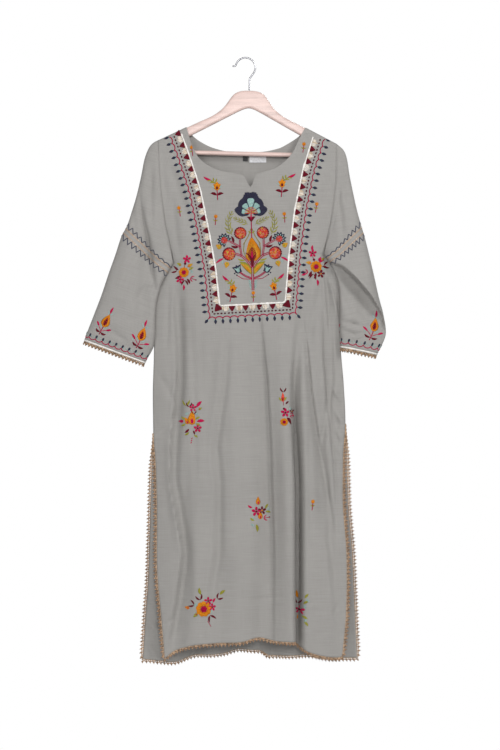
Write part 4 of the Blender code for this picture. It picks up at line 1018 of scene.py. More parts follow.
class Threads:
    """Stitches, knots and cords of thread on one chart of the cloth, joined into one piece."""

    def __init__(self, chart, seed, below=CORD_BELOW):
        self.chart, self.below = chart, below
        self.draw = np.random.default_rng(seed)
        self.stitches = []

    def leaf(self, start, end, width, colour, bend=0.0, height=0.8, form="leaf"):
        self.stitches.append(Stitch(tuple(start), tuple(end), width, colour, bend, height, form))

    def knot(self, x, y, size, colour, height=0.9):
        self.leaf((x - size / 2, y), (x + size / 2, y), size, colour, 0, height, "link")

    def chain(self, line, width, colour, link):
        """Chain stitch along a line of places, each link lapping over the next."""
        spots = even_line(line, link)
        for here, after in zip(spots, spots[1:]):
            lap = (after - here) * CHAIN_LAP
            self.leaf(here - lap, after + lap, width, colour, 0, 0.8, "link")

    def build(self, name, material):
        """One mesh of all the stitches, each with its own colour and lay."""
        parts = [self.patches(form, [s for s in self.stitches if s.form == form]) for form in FORMS]
        points, colours, lays, faces = zip(*[part for part in parts if part])
        firsts = np.cumsum([0] + [len(part) for part in points])
        joined = [[i + first for i in face] for part, first in zip(faces, firsts) for face in part]
        mesh = bpy.data.meshes.new(name)
        mesh.from_pydata(to_frame(np.concatenate(points)), [], joined)
        bm = bmesh.new()
        bm.from_mesh(mesh)
        bmesh.ops.recalc_face_normals(bm, faces=bm.faces)
        bm.to_mesh(mesh)
        bm.free()
        colour = mesh.color_attributes.new("thread", "FLOAT_COLOR", "POINT")
        opaque = np.concatenate([np.concatenate(colours), np.ones((firsts[-1], 1))], axis=1)
        colour.data.foreach_set("color", opaque.ravel())
        stitch = mesh.attributes.new("stitch", "FLOAT_VECTOR", "POINT")
        stitch.data.foreach_set("vector", np.concatenate(lays).ravel())
        mesh.shade_smooth()
        return link_object(name, mesh, material)

    def patches(self, form, stitches):
        """One form's stitches: their points, colours, places along and across the strands, and faces."""
        if not stitches:
            return None
        shares, widths = (np.array(values) for values in FORMS[form])
        shares, widths = np.concatenate([[0], shares, [1]]), np.concatenate([[0], widths, [0]])
        start = np.array([s.start for s in stitches], float)[:, None]
        end = np.array([s.end for s in stitches], float)[:, None]
        way = end - start
        aside = np.stack([way[..., 1], -way[..., 0]], axis=-1)
        bend = np.array([s.bend for s in stitches])[:, None, None]
        t = shares[None, :, None]
        spots = start + way * t + aside * bend * 4 * t * (1 - t)
        centres, normals, there = self.chart.place(spots[..., 0], spots[..., 1])
        keep = there.all(axis=1)
        if not keep.any():
            return None
        stitches = [s for s, kept in zip(stitches, keep) if kept]
        centres, normals, way = centres[keep], normals[keep], way[keep]
        tangent = unit(np.gradient(centres, axis=1))
        across = unit(np.cross(normals, tangent))
        half = np.array([s.width / 2 for s in stitches])[:, None] * widths
        lift = np.array([s.height for s in stitches])[:, None] * np.sqrt(widths)
        sides = SIDES.get(form, 8)
        ring, side, faces = patch_template(len(shares) - 2, sides)
        angle = side * 2 * math.pi / sides
        up = np.maximum(np.sin(angle), -self.below)
        reach = np.cos(angle) * half[:, ring]
        points = (centres[:, ring] + across[:, ring] * reach[..., None]
                  + normals[:, ring] * (up * lift[:, ring])[..., None])
        shade = 1 + self.draw.uniform(-SHADE_SPREAD, SHADE_SPREAD, (len(stitches), 1))
        colours = np.array([linear(THREADS[s.colour]) for s in stitches]) * shade
        lengths = np.linalg.norm(way[:, 0], axis=1)
        along = lengths[:, None] * shares[ring] + np.abs(reach) * 0.7
        seeds = self.draw.uniform(0, 50, len(stitches))
        lay = np.stack(np.broadcast_arrays(along, reach, seeds[:, None]), axis=-1)
        size = points.shape[1]
        faces = [[i + size * k for i in face] for k in range(len(stitches)) for face in faces]
        colours = np.repeat(colours[:, None], size, axis=1)
        return points.reshape(-1, 3), colours.reshape(-1, 3), lay.reshape(-1, 3), faces


class PanelChart:
    """Places on a panel as they are seen from straight in front: x and drop."""

    def __init__(self, cloth):
        self.cloth = cloth

    def place(self, x, drop):
        """Points and normals there, and whether each lies on the panel and below its upper edge."""
        panel = self.cloth.panel
        u, v = locate(panel, x, drop)
        points, normals = self.cloth.at(u, v, THREAD_LIFT)
        there = (np.abs(panel.x_of(u, v) - x) < 1) & (np.abs(panel.drop_of(u, v) - drop) < 1) & (v > 0.004)
        return points, normals, there


class CuffChart:
    """Places on a sleeve near its cuff: millimetres round it from its outer point, and above its edge."""

    def __init__(self, cloth):
        self.cloth = cloth
        self.round = path_lengths(cloth.points[-1])
        self.girth = self.round[-1]
        self.above = (cloth.flat[..., 1] - cloth.flat[-1, :, 1]) / MM

    def place(self, x, y):
        x, y = np.broadcast_arrays(np.asarray(x, float), np.asarray(y, float))
        u = np.interp(x % self.girth, self.round, self.cloth.us)
        columns = np.clip(np.searchsorted(self.cloth.us, u), 0, len(self.cloth.us) - 1)
        v = [np.interp(height, self.above[::-1, c], self.cloth.vs[::-1])
             for height, c in zip(y.ravel(), columns.ravel())]
        points, normals = self.cloth.at(u, np.array(v).reshape(x.shape), THREAD_LIFT)
        return points, normals, np.ones(x.shape, bool)


def compass(degrees):
    """The direction at an angle, clockwise from straight up."""
    angle = math.radians(degrees)
    return np.array([math.sin(angle), math.cos(angle)])


class Pen:
    """Draws in a motif's own millimetres, x to the right and y up, turned and scaled on the chart."""

    def __init__(self, threads, x, y, turn=0.0, size=1.0, flip=1, down=-1):
        self.threads, self.x, self.y, self.turn = threads, x, y, math.radians(turn)
        self.size, self.flip, self.down = size, flip, down

    def spot(self, x, y):
        x, y = x * self.size * self.flip, y * self.size
        along = x * math.cos(self.turn) + y * math.sin(self.turn)
        up = y * math.cos(self.turn) - x * math.sin(self.turn)
        return self.x + along, self.y + up * self.down

    def at(self, x, y, turn=0.0):
        """The same pen moved to a place of its own and turned."""
        turned = math.degrees(self.turn) + turn * self.flip
        return Pen(self.threads, *self.spot(x, y), turned, self.size, self.flip, self.down)

    def leaf(self, start, end, width, colour, bend=0.0, height=0.8, form="leaf"):
        bend = bend * self.flip * -self.down
        self.threads.leaf(self.spot(*start), self.spot(*end), width * self.size, colour, bend, height, form)

    def pair(self, start, end, width, colour, bend=0.0, height=0.8):
        """A leaf on the left and its mirror image on the right."""
        for side in (-1, 1):
            mirrored = (side * start[0], start[1]), (side * end[0], end[1])
            self.leaf(*mirrored, width, colour, bend * side, height)

    def ray(self, degrees, start, end, width, colour, height=0.8, form="leaf"):
        """A leaf along a direction, from one distance to another."""
        way = compass(degrees)
        self.leaf(way * start, way * end, width, colour, 0, height, form)

    def knot(self, x, y, size, colour, height=0.9):
        self.threads.knot(*self.spot(x, y), size * self.size, colour, height)

    def chain(self, line, width, colour, link=3.6):
        self.threads.chain([self.spot(*place) for place in line], width, colour, link)

    def vee(self, size, colour, spread=0.62, width=0.36):
        """Two leaves that part upwards."""
        self.pair((0, 0), (size * spread, size), size * width, colour, -0.12)

    def star(self, radius, colour, heart, petals):
        for i in range(petals):
            self.ray(360 * i / petals, radius * 0.2, radius, radius * 2.9 / petals, colour, 0.7, "oval")
        self.knot(0, 0, radius * 0.42, heart, 1.2)

    def rose(self, radius, petal, heart):
        """A round flower: nine petals round rings of knots."""
        for i in range(9):
            self.ray(40 * i, radius * 0.45, radius, radius * 2 / 3, petal, 0.7, "oval")
        for share, count, colour in ((0.52, 10, petal), (0.28, 6, heart), (0.0, 1, heart)):
            for i in range(count):
                way = compass(360 * i / count + math.degrees(share * 9)) * radius * share
                self.knot(*way, radius * 0.34, colour, 1.2)

    def bud(self, length, width, colour, heart, calyx=None):
        self.leaf((0, 0), (0, length), width, colour, 0, 1.0, "drop")
        self.leaf((0, length * 0.08), (0, length * 0.6), width * 0.45, heart, 0, 1.4, "drop")
        if calyx:
            self.pair((0, -length * 0.12), (width * 0.55, length * 0.42), width * 0.24, calyx, 0.2)

    def tuft(self, size, count=3, spread=28):
        for i in range(count):
            self.ray((i - (count - 1) / 2) * spread, size * 0.3, size, size * 0.24, "aqua", 0.6)


# ---------------------------------------------------------------- motifs

TRIANGLE_PITCH = 29.7
DASH_PITCH = 8.2
RUNNING_PITCH = 6.2
SCALLOP_PITCH = 16.2
CUFF_SCALLOP = 15.6
CUFF_FLAME_HEIGHT = 63      # from the cuff's edge to the middle of a flame-shaped motif
# How far each row of the border stands outside the piping.
TRIANGLE_ROW, DASH_ROW, RUNNING_ROW, SCALLOP_ROW = 2.0, 17.5, 21.5, 28.5
PLANT_PLACE = (5.6, 262.0, -1.5)            # x, drop and turn
# The fan's outer line: degrees from its middle, and the reach there.
FAN_OUTLINE = [(0, 49), (15, 48), (22, 42), (32, 40.5), (45, 36), (62, 35), (78, 37), (90, 34), (104, 22)]


def offset_side(line, before, after, distance):
    """A side of the border's path moved outwards, meeting its moved neighbours at its corners."""
    line = even_line(line, 12)
    way = unit(np.gradient(line, axis=0))
    out = np.stack([-way[:, 1], way[:, 0]], axis=1)
    moved = line + out * distance
    for end, other in ((0, before), (-1, after)):
        if other is not None:
            both = unit(out[end] + other)
            moved[end] = line[end] + both * distance / both.dot(other)
    return even_line(moved, 1.0)


def border_marks(distance, pitch, phase=0.0, ends=False):
    """Evenly spaced places round the yoke's border at a distance from its piping, each with the directions
    along and outwards. With no phase there is a place at each corner, which faces out diagonally."""
    paths = [np.array(path, float) for path in (PIPING_LEFT, PIPING_BOTTOM, PIPING_RIGHT)]
    turns = []
    for first, second in zip(paths, paths[1:]):
        ways = unit(first[-1] - first[-2]), unit(second[1] - second[0])
        turns.append([np.array([-way[1], way[0]]) for way in ways])
    marks = []
    for k, path in enumerate(paths):
        before = turns[k - 1][0] if k else None
        after = turns[k][1] if k < 2 else None
        line = offset_side(path, before, after, distance)
        count = max(int(round((len(line) - 1) / pitch)), 1)
        last = count + (ends and k == 2)
        for i in range(last):
            share = min((i + phase) / count, 1) * (len(line) - 1)
            spot = line[int(share)]
            a, b = line[max(int(share) - 2, 0)], line[min(int(share) + 2, len(line) - 1)]
            way = unit(b - a)
            if i == 0 and phase == 0 and k:
                way = unit(turns[k - 1][0] + turns[k - 1][1])
                way = np.array([way[1], -way[0]])
            marks.append((spot, way, np.array([-way[1], way[0]]), i == 0 and phase == 0 and k > 0))
    return marks


def draw_border(threads):
    """The yoke's border, outwards from its piping: triangles and pale tufts, dashes, running stitches,
    scallops and leaf buds. It runs on round both lower corners."""
    draw = np.random.default_rng(12)
    for place, way, out, corner in border_marks(TRIANGLE_ROW, TRIANGLE_PITCH):
        size = 1.3 if corner else 1.0
        foot = place - out * (3.0 if corner else 0.6)
        threads.leaf(foot, foot + out * 13.4 * size, 15.5 * size, "maroon", 0, 0.9, "wedge")
        threads.leaf(foot + way * 1.5, foot + out * 8 * size, 4.0, "maroon", 0, 1.5)
    pale = ("cream", "white", "cream", "linen")
    for place, way, out, _ in border_marks(TRIANGLE_ROW, TRIANGLE_PITCH, 0.5):
        for k in range(7):
            foot, tip = (k - 3) * 2.3, (k - 3) * 1.7 + draw.uniform(-1.4, 1.4)
            reach = 13.0 - abs(k - 3) * 1.2 + draw.uniform(-1.2, 1.2)
            threads.leaf(place + way * foot - out * 0.6, place + way * tip + out * reach, 4.2,
                         pale[int(draw.integers(4))], 0, 0.8 + 0.1 * (k % 3))
    for place, way, _, _ in border_marks(DASH_ROW, DASH_PITCH, 0.5):
        threads.leaf(place - way * 2.6, place + way * 2.6, 3.6, "plum_dark", 0, 0.8, "oval")
    for place, way, _, _ in border_marks(RUNNING_ROW, RUNNING_PITCH, 0.5):
        threads.leaf(place - way * 2.1, place + way * 2.1, 0.9, "aqua", 0, 0.45)
    marks = border_marks(SCALLOP_ROW, SCALLOP_PITCH, 0.0, True)
    t = np.linspace(0, 1, 9)[:, None]
    for (a, _, _, _), (b, _, _, _) in zip(marks, marks[1:]):
        way = unit(b - a)
        inward = np.array([way[1], -way[0]])
        threads.chain(a * (1 - t) + b * t + inward * 4.2 * np.sqrt(np.sin(math.pi * t)), 2.7, "magenta", 3.4)
    for place, way, out, _ in marks:
        threads.leaf(place + out * 0.8, place + out * 13.0, 6.6, "navy", 0, 0.9)
        for side in (-1, 1):
            threads.leaf(place + out * 1.6 + way * side * 1.5, place + out * 5.4 + way * side * 3.3, 1.5,
                         "aqua", 0, 0.5)


def draw_yoke_sprig(pen):
    """A bud on an upright stem with a long leafy tip that leans over."""
    pen.chain([(0, 2), (-0.6, -9), (-1.6, -20)], 2.5, "magenta")
    for side in (-1, 1):
        pen.leaf((side * 0.6, -11), (side * 13.5, -7), 6.0, "maroon", 0.16 * side)
        pen.leaf((side * 4, 2), (side * 11, 9), 2.4, "aqua", 0.12 * side, 0.6)
        pen.leaf((side * 1.5, -1), (side * 7.5, 13), 7.0, "orange", 0.14 * side, 0.9)
    pen.bud(18, 14, "orange", "maroon")
    pen.leaf((1, 14), (13, 21), 3.4, "olive", -0.10)
    pen.leaf((11, 20), (28, 28), 5.2, "magenta", -0.08)
    for x, y, end_x, end_y in ((4, 16, 1, 24), (8, 18, 8, 26), (7, 16, 15, 15), (12, 20, 20, 18)):
        pen.leaf((x, y), (end_x, end_y), 3.2, "olive", 0.1)
    pen.at(-1, -20).tuft(7, 2, 130)


def draw_small_stem(pen):
    """A short stem with two leaves and a small three-petalled flower."""
    for way in (-1, 0, 1):
        pen.leaf((0, -1), (way * 3.6, 8.5 - abs(way) * 2), 5.2, "orange", 0, 1.2, "drop")
    pen.knot(0, 2, 3.4, "coral", 1.9)
    pen.chain([(0, -1), (0.3, -9), (0, -17)], 2.2, "magenta", 3)
    pen.pair((0, -9), (5.5, -5), 2.8, "olive", 0.1)


def draw_flame(pen):
    """A drop-shaped bud on a stem, with a leaf at its tip and two side buds on branches."""
    pen.chain([(0, -37), (0, -27), (0, -16)], 2.6, "magenta")
    pen.leaf((0, -17), (0, 17), 20.5, "orange", 0, 1.1, "drop")
    pen.leaf((0, -14), (0, 9), 11.5, "maroon", 0, 1.7, "drop")
    for k in range(5):
        pen.pair((0.6, -11 + 4 * k), (4.8 - 0.7 * k, -8 + 4 * k), 1.5, "coral", 0, 2.1)
    pen.leaf((0, 17), (0, 35), 5.2, "magenta", 0.04)
    for side in (-1, 1):
        pen.leaf((side * 2.2, 14), (side * 8, 22), 2.6, "aqua", 0.1 * side, 0.6)
        pen.leaf((side * 0.6, -29), (side * 12, -19), 1.7, "magenta", 0.06 * side)
        pen.leaf((side * 10, -20.5), (side * 20, -13.5), 4.6, "magenta", 0.06 * side, 0.9, "oval")
        pen.leaf((side * 3, -19), (side * 10, -13), 2.3, "aqua", 0.05 * side, 0.6)
        pen.leaf((side * 12, -24), (side * 17, -21), 1.9, "aqua", 0, 0.6)
        pen.leaf((side * 0.5, -31), (side * 13.5, -28), 5.4, "maroon", -0.18 * side)


def draw_fan(pen):
    """The large flower at the top of the yoke's plant: a stepped dark ground, five pale petals, a heart."""
    turns, reaches = zip(*FAN_OUTLINE)
    half, rays = turns[-1], 45
    for i in range(rays):
        degrees = -half + 2 * half * i / (rays - 1)
        ripple = 3.4 * abs(math.sin(math.radians(degrees) * 6)) - 1
        reach = np.interp(abs(degrees), turns, reaches) + ripple
        pen.ray(degrees, 5, reach - 8, 6.0, "navy", 0.7, "oval")
        pen.ray(degrees, reach - 14, reach, 5.2, "navy", 0.9, "oval")
    for i, (reach, width) in enumerate(((22, 15), (27, 18), (35, 21), (27, 18), (22, 15))):
        pen.ray(-74 + 37 * i, reach, 5, width, "aqua", 1.6, "petal")
    for i, reach in enumerate((28, 34, 34, 28)):
        pen.ray(-56 + 37.4 * i, 8, reach, 2.6, "navy", 2.1)
    colours = ("coral", "orange", "blush", "coral", "yellow", "coral")
    for ring, count in ((14, 13), (10, 9), (6, 6), (1, 2)):
        for i in range(count):
            x, y = compass(-88 + 176 * (i + 0.5) / count) * ring
            pen.knot(x, y - 1, 4.6, colours[(i + count) % 6], 2.4)
    pen.leaf((0, -20), (0, 0), 4.0, "magenta", 0, 1.5)
    pen.pair((0, -21), (10, -8), 7.0, "maroon", 0.2, 1.4)


def draw_mottled_flower(pen, radius, draw):
    """A round flower packed with small knots of warm reds inside a dark rim, which is wider on one side."""
    for i in range(18):
        reach = radius * (1.0 + 0.07 * compass(20 * i)[0])
        pen.ray(20 * i, radius * 0.66, reach, radius * 0.38, "maroon", 0.7, "oval")
    colours = ("coral", "coral", "pink", "coral", "yellow", "coral", "blush")
    for ring, count in ((0.0, 1), (0.16, 6), (0.32, 11), (0.48, 16), (0.63, 21), (0.76, 25)):
        for i in range(count):
            place = compass(360 * i / count + math.degrees(ring * 5)) * radius * ring
            pen.knot(*place, radius * 0.25, colours[int(draw.integers(7))], 1.5)


def draw_toothed_flower(pen):
    """A flower seen from its side: a red heart with dark and pale teeth round most of it."""
    for i in range(9):
        pen.ray(-128 + 32 * i, 5, 16.5, 6.4, "navy", 0.9)
        pen.ray(-128 + 32 * i, 7, 12.5, 2.8, "aqua", 1.5)
    for ring, count in ((6.4, 9), (3.2, 5), (0, 1)):
        for i in range(count):
            pen.knot(*(compass(360 * i / count) * ring), 4.4, ("coral", "pink", "coral")[i % 3], 1.6)


def draw_leafy_stem(pen, line, leaf, pairs):
    """A thin stem with pairs of leaves that grow smaller towards its tip."""
    pen.chain(line, 1.5, "olive", 3)
    spots = even_line(line, 1.0)
    for k in range(pairs):
        at = int((k + 0.5) / pairs * (len(spots) - 2))
        way = spots[at + 1] - spots[at]
        turn = math.degrees(math.atan2(way[0], way[1]))
        pen.at(*spots[at], turn).vee(leaf * (1 - 0.4 * k / pairs), "olive", 0.6, 0.25)
    end = spots[-1]
    pen.leaf(end, end + (spots[-1] - spots[-3]) * 2.4, 3.2, "olive")


def draw_double_stem(pen, line, gap, width):
    """Two lines of chain stitch side by side."""
    line = even_line(line, 6)
    way = unit(np.gradient(line, axis=0))
    aside = np.stack([-way[:, 1], way[:, 0]], axis=1)
    for side in (-0.5, 0.5):
        pen.chain(line + aside * gap * side, width, "magenta", 3.4)


def draw_golden_heart(pen):
    """The large golden drop in the plant's middle, with its rusty heart, bright middle and two sepals."""
    pen.leaf((0, -48), (0, 9), 41, "orange", 0, 1.0, "drop")
    pen.leaf((0, -46), (0, 1), 33, "gold", 0, 1.5, "drop")
    pen.leaf((0, -46), (0, -5), 26, "rust", 0, 1.9, "drop")
    for k in range(7):
        pen.pair((0.8, -36 + 4.4 * k), (10 - 1.2 * k, -26 + 4.4 * k), 1.5, "orange", 0, 2.4)
    pen.leaf((0, -47), (0, -19), 6.5, "magenta", 0, 2.6)
    pen.pair((0.5, -60), (16, -27), 9.0, "maroon", 0.22, 2.2)


def draw_plant_stems(half):
    """The branches on one side of the plant."""
    half.chain([(1.5, 27), (7, 12), (17, -4), (20, -22), (14, -38)], 1.9, "olive", 3.2)
    half.chain([(3.5, 20), (10, 6), (20, -8)], 1.4, "gold", 3.2)
    for line, gap, width in (([(2, -61), (11, -46), (24, -34), (38, -29)], 3.4, 2.3),
                             ([(24, -34), (27, -16), (27, 3)], 2.8, 2.0),
                             ([(27, -14), (40, -6), (53, 1)], 2.8, 2.0),
                             ([(2, -86), (16, -81), (30, -71)], 2.4, 2.2)):
        draw_double_stem(half, line, gap, width)
    half.chain([(2, -88), (22, -87), (35, -79)], 1.7, "magenta")


def draw_tulip(pen):
    """A pointed flower of three dark petals with pale hearts."""
    pen.pair((1, -1), (11, 17), 9.5, "navy", 0.2, 1.0)
    pen.leaf((0, -1), (0, 20), 15.0, "navy", 0, 0.9, "drop")
    pen.leaf((0, 1), (0, 15), 9.0, "aqua", 0, 1.5, "drop")
    pen.pair((2, 3), (8, 14), 3.8, "aqua", 0.16, 1.7)


# The plant's single leaves on one side: both ends, width, colour, bend and height.
PLANT_LEAVES = [
    ((65, -39), (84, -50), 5.0, "magenta", 0.06), ((68, -36), (79, -37), 2.6, "aqua"),
    ((66, -43), (70, -53), 2.2, "aqua"), ((42, -5), (47, 12), 6.0, "maroon", 0.1),
    ((30, -13), (48, -10), 6.0, "maroon", -0.14), ((16, -44), (34, -40), 4.2, "olive", -0.12),
]
ROOT_LEAVES = [
    ((2, -78), (30, -48), 15.0, "olive", 0.12, 0.8), ((4, -75), (27, -52), 10.6, "gold", 0.12, 1.3),
    ((7, -71), (19, -59), 4.6, "orange", 0.12, 1.8),
]


def draw_plant_half(half, draw):
    """One side of the plant: its branches, flowers, leaves and tufts."""
    draw_plant_stems(half)
    for x, y in ((26, -69), (36, -78), (41, -74)):
        half.knot(x, y, 3.6, "navy", 1.1)
    draw_mottled_flower(half.at(25, 18), 14.5, draw)
    draw_mottled_flower(half.at(52, -29), 15.5, draw)
    draw_toothed_flower(half.at(63, 3, 50))
    draw_tulip(half.at(31, -73, 20))
    for leaf in ROOT_LEAVES:
        half.leaf(*leaf)
    half.at(70, -15, 58).bud(15, 12, "gold", "olive")
    half.at(57, -47, 165).bud(15, 12, "gold", "olive")
    for leaf in PLANT_LEAVES:
        half.leaf(*leaf)
    draw_leafy_stem(half, [(45, 14), (53, 31), (53, 49), (45, 65)], 12.5, 6)
    draw_leafy_stem(half, [(9, 38), (20, 44), (37, 52)], 10.0, 4)
    for k in range(4):
        half.leaf((3, -97 - 5 * k), (12 - k, -88 - 5 * k), 2.4, "aqua", 0.08, 0.7)
    half.leaf((1, 16), (8, 22), 3.4, "olive", 0.1)


def draw_plant(threads, draw):
    """The yoke's large symmetrical flowering plant."""
    pen = Pen(threads, *PLANT_PLACE)
    draw_double_stem(pen, [(0, -57), (0, -86), (0, -113)], 4.0, 2.6)
    pen.chain([(0, 46), (0, 24), (0, 6)], 2.8, "magenta")
    for flip in (-1, 1):
        draw_plant_half(Pen(threads, *PLANT_PLACE, flip=flip), draw)
    draw_golden_heart(pen)
    draw_fan(pen.at(0, 63))


POSY_GROWTH = 1.5       # how much larger a posy's items are than their rows say

# Each posy's x and drop, and its items: what each one is, its place in the posy's millimetres, its turn and
# its size.
POSIES = [
    (-150, 338, [
        ("rose", 0, 4, 0, 8), ("magenta_star", 7, 34, 0, 6.5), ("dot", 3, 24, 0, 4),
        ("olive_bud", -6, 20, -60, 8), ("gold_bud", 9, 17, 60, 9), ("vee", -16, 8, -70, 8),
        ("magenta_star", -9, -12, 20, 6.5), ("vee", 2, -14, 180, 8), ("sprig", 15, -9, 110, 9),
        ("magenta_leaf", -1, -24, 180, 9), ("aqua", 13, 4, 70, 6), ("aqua", -12, 16, -30, 5),
        ("magenta_leaf", 5, 26, 10, 8), ("olive_leaf", 12, 9, 60, 8), ("maroon_leaf", -9, -3, -120, 9),
        ("maroon_leaf", 7, -11, 150, 9), ("stem", 1, 12, 8, 8), ("maroon_leaf", -12, 10, -50, 8)]),
    (151, 322, [
        ("rose", 2, 1, 0, 9), ("gold_bud", -9, 9, -80, 9), ("magenta_bud", 8, 14, 30, 8),
        ("vee", 20, 4, 80, 8), ("magenta_star", -6, 32, 0, 6.5), ("magenta_leaf", -6, 37, 0, 9),
        ("dot", -3, 17, 0, 4), ("maroon_star", 13, -15, 10, 6.5), ("vee", -4, -16, 190, 8),
        ("magenta_leaf", 4, -28, 175, 10), ("magenta_leaf", -21, -14, -110, 8),
        ("sprig", -17, -12, -80, 8), ("aqua", 14, -4, 80, 6), ("magenta_leaf", 8, 10, 60, 10),
        ("olive_leaf", 13, 14, 50, 8), ("maroon_leaf", 16, 2, 110, 9), ("maroon_leaf", -9, -9, -150, 10),
        ("maroon_leaf", 1, -12, 195, 10), ("stem", -2, 13, -20, 14)]),
    (-132, 672, [
        ("orange_bud", 1, -11, 0, 22), ("orange_bud", -7, -9, -30, 12), ("magenta_bud", -19, -3, -90, 8),
        ("olive_leaf", -14, 2, -60, 8), ("olive_leaf", -14, -8, -115, 8), ("magenta_leaf", 12, -4, 85, 12),
        ("olive_leaf", 9, 1, 60, 8), ("olive_leaf", 9, -9, 110, 8), ("magenta_star", 14, -19, 0, 6.5),
        ("maroon_leaf", -6, -20, -130, 9), ("olive_leaf", -6, -28, -120, 8),
        ("maroon_leaf", 3, -24, 160, 7), ("twist", 1, -40, 190, 10), ("olive_leaf", 5, -35, 120, 7),
        ("olive_vee", -13, 33, 0, 9), ("vee", -6, 30, 0, 7), ("magenta_star", 3, 28, 0, 6),
        ("magenta_leaf", 12, 29, 40, 12), ("olive_bud", 16, 24, 60, 6), ("vee", 5, 13, 0, 6),
        ("aqua", 3, 19, 0, 6), ("aqua", -8, 10, -30, 6), ("aqua", 9, 10, 30, 6)]),
    (77, 644, [
        ("red_bud", -3, 14, 0, 15), ("olive_leaf", -5, 16, -35, 7), ("olive_leaf", 0, 16, 35, 7),
        ("stem", -2, 6, 0, 9), ("maroon_leaf", 3, 8, 50, 7), ("dot", -1, -2, 0, 3.6),
        ("magenta_star", 2, -11, 0, 7), ("aqua", 11, -8, 50, 8), ("aqua", 12, -16, 90, 7),
        ("maroon_star", 20, -8, 0, 5), ("magenta_star", 20, -17, 30, 5), ("maroon_leaf", 5, -22, 145, 14),
        ("rose", -1, -32, 0, 6), ("vee", -2, 36, 0, 7)]),
    (18, 880, [
        ("orange_bud", 2, 14, 0, 13), ("magenta_star", -2, -1, 0, 7.5), ("maroon_star", 11, 1, 0, 6.5),
        ("orange_bud", 7, -19, 0, 13), ("sprig", 15, -17, 80, 9), ("olive_leaf", 19, 4, 30, 9),
        ("olive_leaf", 19, -2, 100, 8), ("aqua", 22, 1, 60, 6), ("aqua", -5, -14, -120, 6),
        ("aqua", -8, -27, -150, 6), ("olive_leaf", -6, -21, -60, 8), ("olive_leaf", -3, -30, 170, 12),
        ("magenta_leaf", -11, 8, -60, 8)]),
    (-104, 1104, [
        ("rose", 0, 1, 0, 12), ("orange_bud", -33, 2, -80, 8), ("vee", -22, 10, -70, 8),
        ("vee", -8, 22, -20, 8), ("olive_leaf", -6, 34, -15, 11), ("magenta_star", 10, 19, 0, 6.5),
        ("magenta_star", 19, 5, 0, 6), ("magenta_leaf", 21, 15, 30, 8), ("vee", 31, 24, 45, 8),
        ("olive_leaf", 37, 33, 50, 11), ("olive_bud", -14, -9, -130, 9), ("vee", 14, -14, 150, 9),
        ("stem", 9, -26, 150, 10), ("aqua", -14, 8, -60, 6), ("aqua", 5, 13, 10, 6),
        ("aqua", 12, -4, 100, 6)]),
    (124, 1098, [
        ("orange_leaf", -8, 17, -10, 12), ("olive_leaf", 3, 19, 40, 9), ("olive_leaf", 0, 6, 60, 9),
        ("olive_leaf", -3, -22, 120, 9), ("olive_leaf", 1, -34, 140, 9), ("aqua", 5, 11, 50, 6),
        ("aqua", -2, 0, 90, 6), ("aqua", 0, -28, 120, 6), ("vee", -9, 5, 0, 8),
        ("magenta_star", -6, -9, 0, 6.5), ("orange_leaf", -9, -21, 190, 7)]),
]
# Each bud's colour, its heart, its width as a share of its length, and its calyx.
BUDS = {"orange_bud": ("orange", "magenta", 0.62, None), "gold_bud": ("gold", "coral", 0.6, "maroon"),
        "magenta_bud": ("magenta", "plum", 0.6, None), "olive_bud": ("olive", "magenta", 0.6, None),
        "red_bud": ("coral", "maroon", 0.34, None)}
SMALL_STAR = 6.2        # a star smaller than this has six petals, a larger one five


def draw_item(pen, kind, size):
    """One item of a posy, by its kind. A word before the kind is its colour."""
    colour = kind.split("_")[0]
    if kind == "rose":
        pen.rose(size, "orange", "magenta")
    elif kind.endswith("_star"):
        pen.star(size, colour, "orange" if colour == "maroon" else "maroon", 6 if size < SMALL_STAR else 5)
    elif kind == "dot":
        pen.knot(0, 0, size, "maroon", 1.2)
    elif kind in BUDS:
        colour, heart, width, calyx = BUDS[kind]
        pen.bud(size, size * width, colour, heart, calyx)
    elif kind in ("vee", "olive_vee"):
        pen.vee(size, "maroon" if kind == "vee" else colour)
    elif kind.endswith("_leaf"):
        pen.leaf((0, 0), (0, size), size * 0.42, colour, 0.1)
    elif kind == "sprig":
        pen.chain([(0, 0), (0, size)], 1.6, "magenta", 3)
        pen.knot(0, size, 3.4, "plum", 1.2)
        pen.vee(size * 0.6, "magenta", 0.8)
    elif kind == "twist":
        for k in range(3):
            pen.leaf((-1.6, k * size / 3), (1.6, (k + 0.8) * size / 3), 2.2, "magenta")
    elif kind == "stem":
        pen.chain([(0, 0), (0, size)], 1.5, "magenta", 3)
    elif kind == "aqua":
        pen.tuft(size)
    else:
        raise ValueError(f"no such item: {kind}")


# Each sprig's x, drop, turn and which way its tip leans; each small stem's x, drop and turn.
YOKE_SPRIGS = [(-74, 146, 0, -1), (75, 139, 0, 1), (-40, 380, 16, -1), (58, 375, -16, 1)]
SPRIG_SIZE = 1.12
SMALL_STEMS = [(-132, 50, -8), (125, 42, 8), (-161, 189, -10), (-77, 209, 4), (80, 203, -4), (154, 180, 10),
               (9, 384, 0), (145, 861, 6)]


def draw_front(threads):
    """The front's plant, sprigs, small stems and posies."""
    draw = np.random.default_rng(21)
    draw_plant(threads, draw)
    for x, drop, turn, flip in YOKE_SPRIGS:
        draw_yoke_sprig(Pen(threads, x, drop, turn, SPRIG_SIZE, flip))
    for x, drop, turn in SMALL_STEMS:
        draw_small_stem(Pen(threads, x, drop, turn))
    for x, drop, items in POSIES:
        pen = Pen(threads, x, drop)
        for kind, aside, up, turn, size in items:
            draw_item(pen.at(aside, up, turn), kind, size * POSY_GROWTH)


